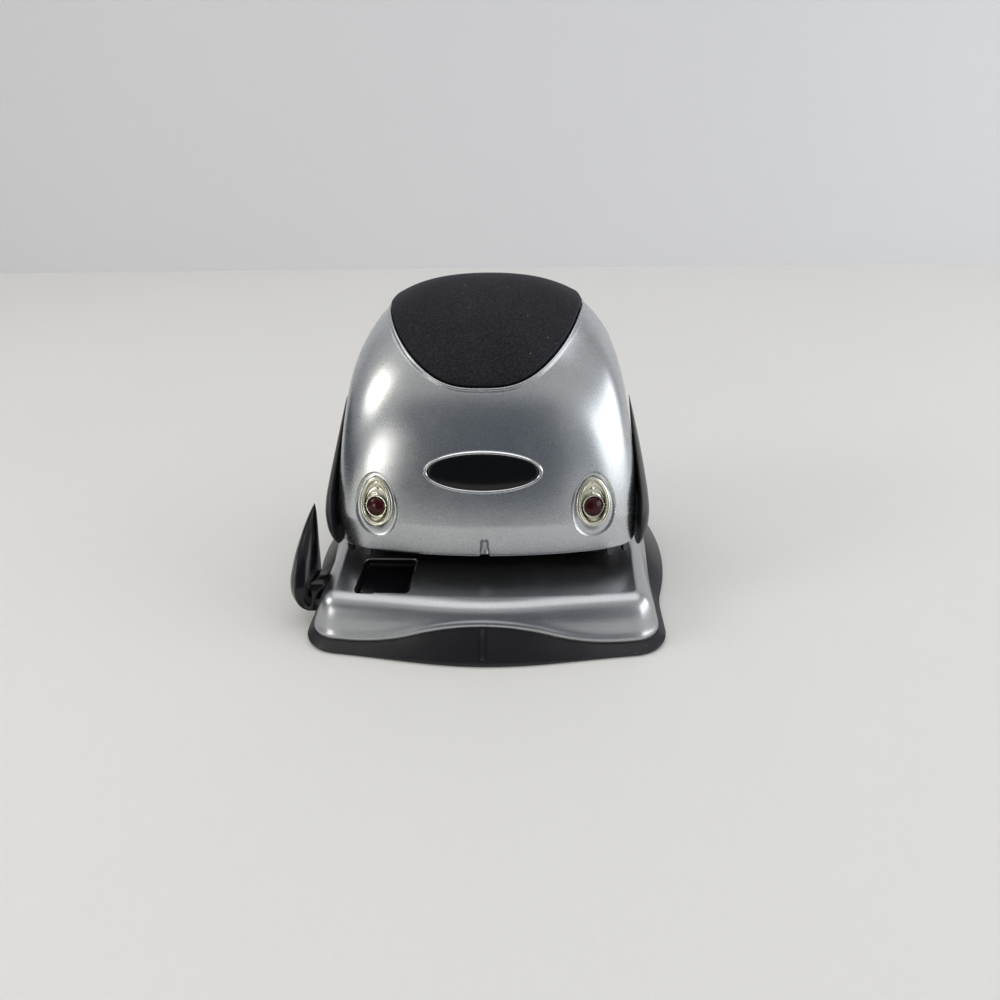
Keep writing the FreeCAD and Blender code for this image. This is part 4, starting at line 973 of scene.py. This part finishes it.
def makeDrop(name, side, body, node):
    across, high = drop["pivot"]
    full = math.hypot(drop["tip"][0] - across, drop["tip"][1] - high)
    rows = [dropLoop(drop["radius"] - 0.3, full - 0.6)]
    lifts = [0.0]
    for share in np.linspace(0, 1, drop["rings"]):
        inset = 1 - math.cos(math.pi / 2 * share)
        radius = drop["radius"] * (1 - drop["narrowing"] * inset)
        rows.append(dropLoop(radius, max(full * (1 - drop["shortening"] * inset), radius * 1.05)))
        lifts.append(0.15 + 0.85 * math.sin(math.pi / 2 * share))
    rows.append(rows[-1] * 0 + rows[-1].mean(0))
    lifts.append(1.0)
    grid = []
    for row, lift in zip(rows, lifts):
        inner, outer = (np.interp(row[:, 1], drop["levels"], drop[key]) for key in ("inner", "outer"))
        grid.append(np.stack([side * (inner + (outer - inner) * lift), row[:, 0], row[:, 1]], -1))
    for turn in range(3):
        smooth = zip(grid[1:], grid[2:-1], grid[3:])
        grid[2:-1] = [(before + 2 * here + after) / 4 for before, here, after in smooth]
    grid = np.array(grid)
    back = np.array([grid[0], grid[0] * 0 + grid[0].mean(0)])
    turns = np.linspace(0, 2 * math.pi, drop["around"], endpoint=False)
    rim = drop["hubRadius"] * np.stack([0 * turns, np.cos(turns), np.sin(turns)], -1)
    hub = np.array([rim + [side * reach, across, high] for reach in drop["hubReach"]])
    patches = [patch(part, closedColumns=True) for part in (grid, back, hub)]
    makePiece(name, patches, blackMoulded, body, "black_moulding", [node], 50)


makeDrop("left_teardrop", -1, "base", "side_cap_left")
makeDrop("right_teardrop", 1, "lock", "lock_lever")


# Folded tabs under the lip's corners
tabs = {"places": (-52.4, -45.0, 47.2, 53.4), "halfWidth": 1.5, "drop": 3.2, "thick": 1.4, "steps": 13}


def makeTabs():
    patches = []
    for place in tabs["places"]:
        spot = castOut((place, dome["middle"], dome["lip"] + 1), (0, -1, 0))
        outward = skinNormals(spot)
        across = np.array([-outward[1], outward[0], 0])
        rows = []
        for turn in np.linspace(0, math.pi, tabs["steps"]):
            wide, low = tabs["halfWidth"] * math.cos(turn), tabs["drop"] * math.sin(turn) ** 0.7 + 0.9
            rows.append(spot + across * wide - [0, 0, low] - outward * 0.3)
        rows = np.array(rows)
        wide = np.linspace(tabs["halfWidth"], -tabs["halfWidth"], tabs["steps"])[:, None]
        top = spot + across * wide + [0, 0, 1.2] - outward * 0.5
        back = tabs["thick"] * outward
        under = rows - back * 0.5 - [0, 0, 0.25]
        patches.append(patch(np.array([top, rows, under, rows - back, top - back])))
    makePiece("lip_tabs", patches, darkSteel, "lever", "frame_steel")


makeTabs()


# Table, wall and light
setting = {
    "tableWidth": 3.0, "wallBack": 0.62, "cloth": (0.80, 0.79, 0.77), "wall": (0.78, 0.78, 0.80),
    "sky": ((0.02, (0.36, 0.38, 0.42)), (0.6, (0.62, 0.62, 0.62))), "skyStrength": 0.85,
}


def sheetMesh(name, corners, finish):
    mesh = bpy.data.meshes.new(name)
    mesh.from_pydata(corners, [], [tuple(range(len(corners)))])
    mesh.materials.append(finish)
    sheet = bpy.data.objects.new(name, mesh)
    bpy.context.scene.collection.objects.link(sheet)
    return sheet


def softCloth():
    paint = Paint("table_cloth")
    folds = paint.noise(7, 3, 0.5, (1, 0.4, 1))
    weave = paint.noise(1500, 2, 0.5)
    cloth = setting["cloth"]
    colour = paint.blend(folds, shade(*cloth), shade(*[part * 0.97 for part in cloth]))
    relief = paint.bump(folds, 0.004, 0.35)
    relief = paint.bump(weave, 0.00015, 0.5, relief)
    return paint.finish(**{"Base Color": colour, "Roughness": 0.85, "Normal": relief})


def paintedWall():
    paint = Paint("painted_wall")
    clouds = paint.noise(2, 3)
    wall = setting["wall"]
    colour = paint.blend(clouds, shade(*wall), shade(*[part * 0.96 for part in wall]))
    return paint.finish(**{"Base Color": colour, "Roughness": 0.9})


half = setting["tableWidth"] / 2
back = setting["wallBack"]
low, high = -0.4, 1.6    # of the wall
tableCorners = [(-half, -half, 0), (half, -half, 0), (half, back, 0), (-half, back, 0)]
wallCorners = [(-half, back, low), (half, back, low), (half, back, high), (-half, back, high)]
sheetMesh("table", tableCorners, softCloth())
sheetMesh("wall", wallCorners, paintedWall())

world = bpy.data.worlds.new("room")
bpy.context.scene.world = world
world.use_nodes = True
sky = world.node_tree
sky.nodes.clear()
direction = sky.nodes.new("ShaderNodeTexCoord")
split = sky.nodes.new("ShaderNodeSeparateXYZ")
rise = sky.nodes.new("ShaderNodeValToRGB")
for element, (place, tone) in zip(rise.color_ramp.elements, setting["sky"]):
    element.position = place
    element.color = (*tone, 1)
glow = sky.nodes.new("ShaderNodeBackground")
glow.inputs["Strength"].default_value = setting["skyStrength"]
done = sky.nodes.new("ShaderNodeOutputWorld")
sky.links.new(direction.outputs["Generated"], split.inputs[0])
sky.links.new(split.outputs["Z"], rise.inputs["Fac"])
sky.links.new(rise.outputs["Color"], glow.inputs["Color"])
sky.links.new(glow.outputs["Background"], done.inputs["Surface"])


def softbox(name, turn, rise, distance, width, height, power, tint=(1, 1, 1), target=(0, 0, 0.06)):
    # turn goes round from the front to the right, rise is the angle above the table
    lamp = bpy.data.lights.new(name, "AREA")
    lamp.shape = "RECTANGLE"
    lamp.size = width
    lamp.size_y = height
    lamp.energy = power
    lamp.color = tint
    holder = bpy.data.objects.new(name, lamp)
    bpy.context.scene.collection.objects.link(holder)
    flat = math.cos(math.radians(rise)) * distance
    about, high = math.radians(turn), math.sin(math.radians(rise)) * distance
    away = Vector((flat * math.sin(about), -flat * math.cos(about), high))
    holder.location = Vector(target) + away
    holder.rotation_euler = (-away).to_track_quat("-Z", "Y").to_euler()


def darkCard(name, corners, tone):
    # seen only in reflections, like a person and a dark room in front of the table
    card = sheetMesh(name, corners, Paint(name).glowing(tone))
    card.visible_camera = False
    card.visible_diffuse = False
    card.visible_shadow = False
    card.visible_transmission = False


cards = {
    "front_card": [(-0.14, -0.21, 0.002), (0.10, -0.21, 0.002), (0.16, -0.33, 0.28), (-0.26, -0.33, 0.28)],
    "left_card": [(-0.30, 0.20, 0.004), (-0.28, -0.12, 0.004), (-0.28, -0.12, 0.085), (-0.30, 0.20, 0.085)],
}
darkCard("front_card", cards["front_card"], (0.12, 0.135, 0.155))
darkCard("left_card", cards["left_card"], (0.07, 0.08, 0.095))
softbox("window_left", -70, 29, 0.9, 0.3, 0.3, 1.3, (1.0, 0.97, 0.86))
softbox("lamp_left", -43, 4, 0.8, 0.2, 0.18, 0.5, (1.0, 0.97, 0.88))
softbox("window_right", 76, 11, 0.9, 1.0, 0.45, 3.2, (0.96, 0.99, 1.0))
softbox("ceiling", 180, 74, 1.65, 2.4, 2.4, 17.0)

# Camera at the photograph's angle
view = {"spot": (0.0181, -0.3029, 0.1864), "pitch": 27.14, "yaw": 2.63, "roll": -1.17, "lens": 29.66}
pitch, yaw, roll = (math.radians(view[key]) for key in ("pitch", "yaw", "roll"))
level = Vector((-math.sin(yaw), math.cos(yaw), 0))
ahead = level * math.cos(pitch) - Vector((0, 0, math.sin(pitch)))
right = Vector((math.cos(yaw), math.sin(yaw), 0))
upward = right.cross(ahead)
turnedRight = right * math.cos(roll) + upward * math.sin(roll)
turnedUp = upward * math.cos(roll) - right * math.sin(roll)
lens = bpy.data.cameras.new("camera")
lens.lens = view["lens"]
lens.sensor_width = 36
lens.clip_start = 0.01
camera = bpy.data.objects.new("camera", lens)
bpy.context.scene.collection.objects.link(camera)
facing = Matrix((turnedRight, turnedUp, -ahead)).transposed().to_4x4()
camera.matrix_world = Matrix.Translation(view["spot"]) @ facing
bpy.context.scene.camera = camera
bpy.context.scene.view_settings.view_transform = "Standard"
print("light and camera set")
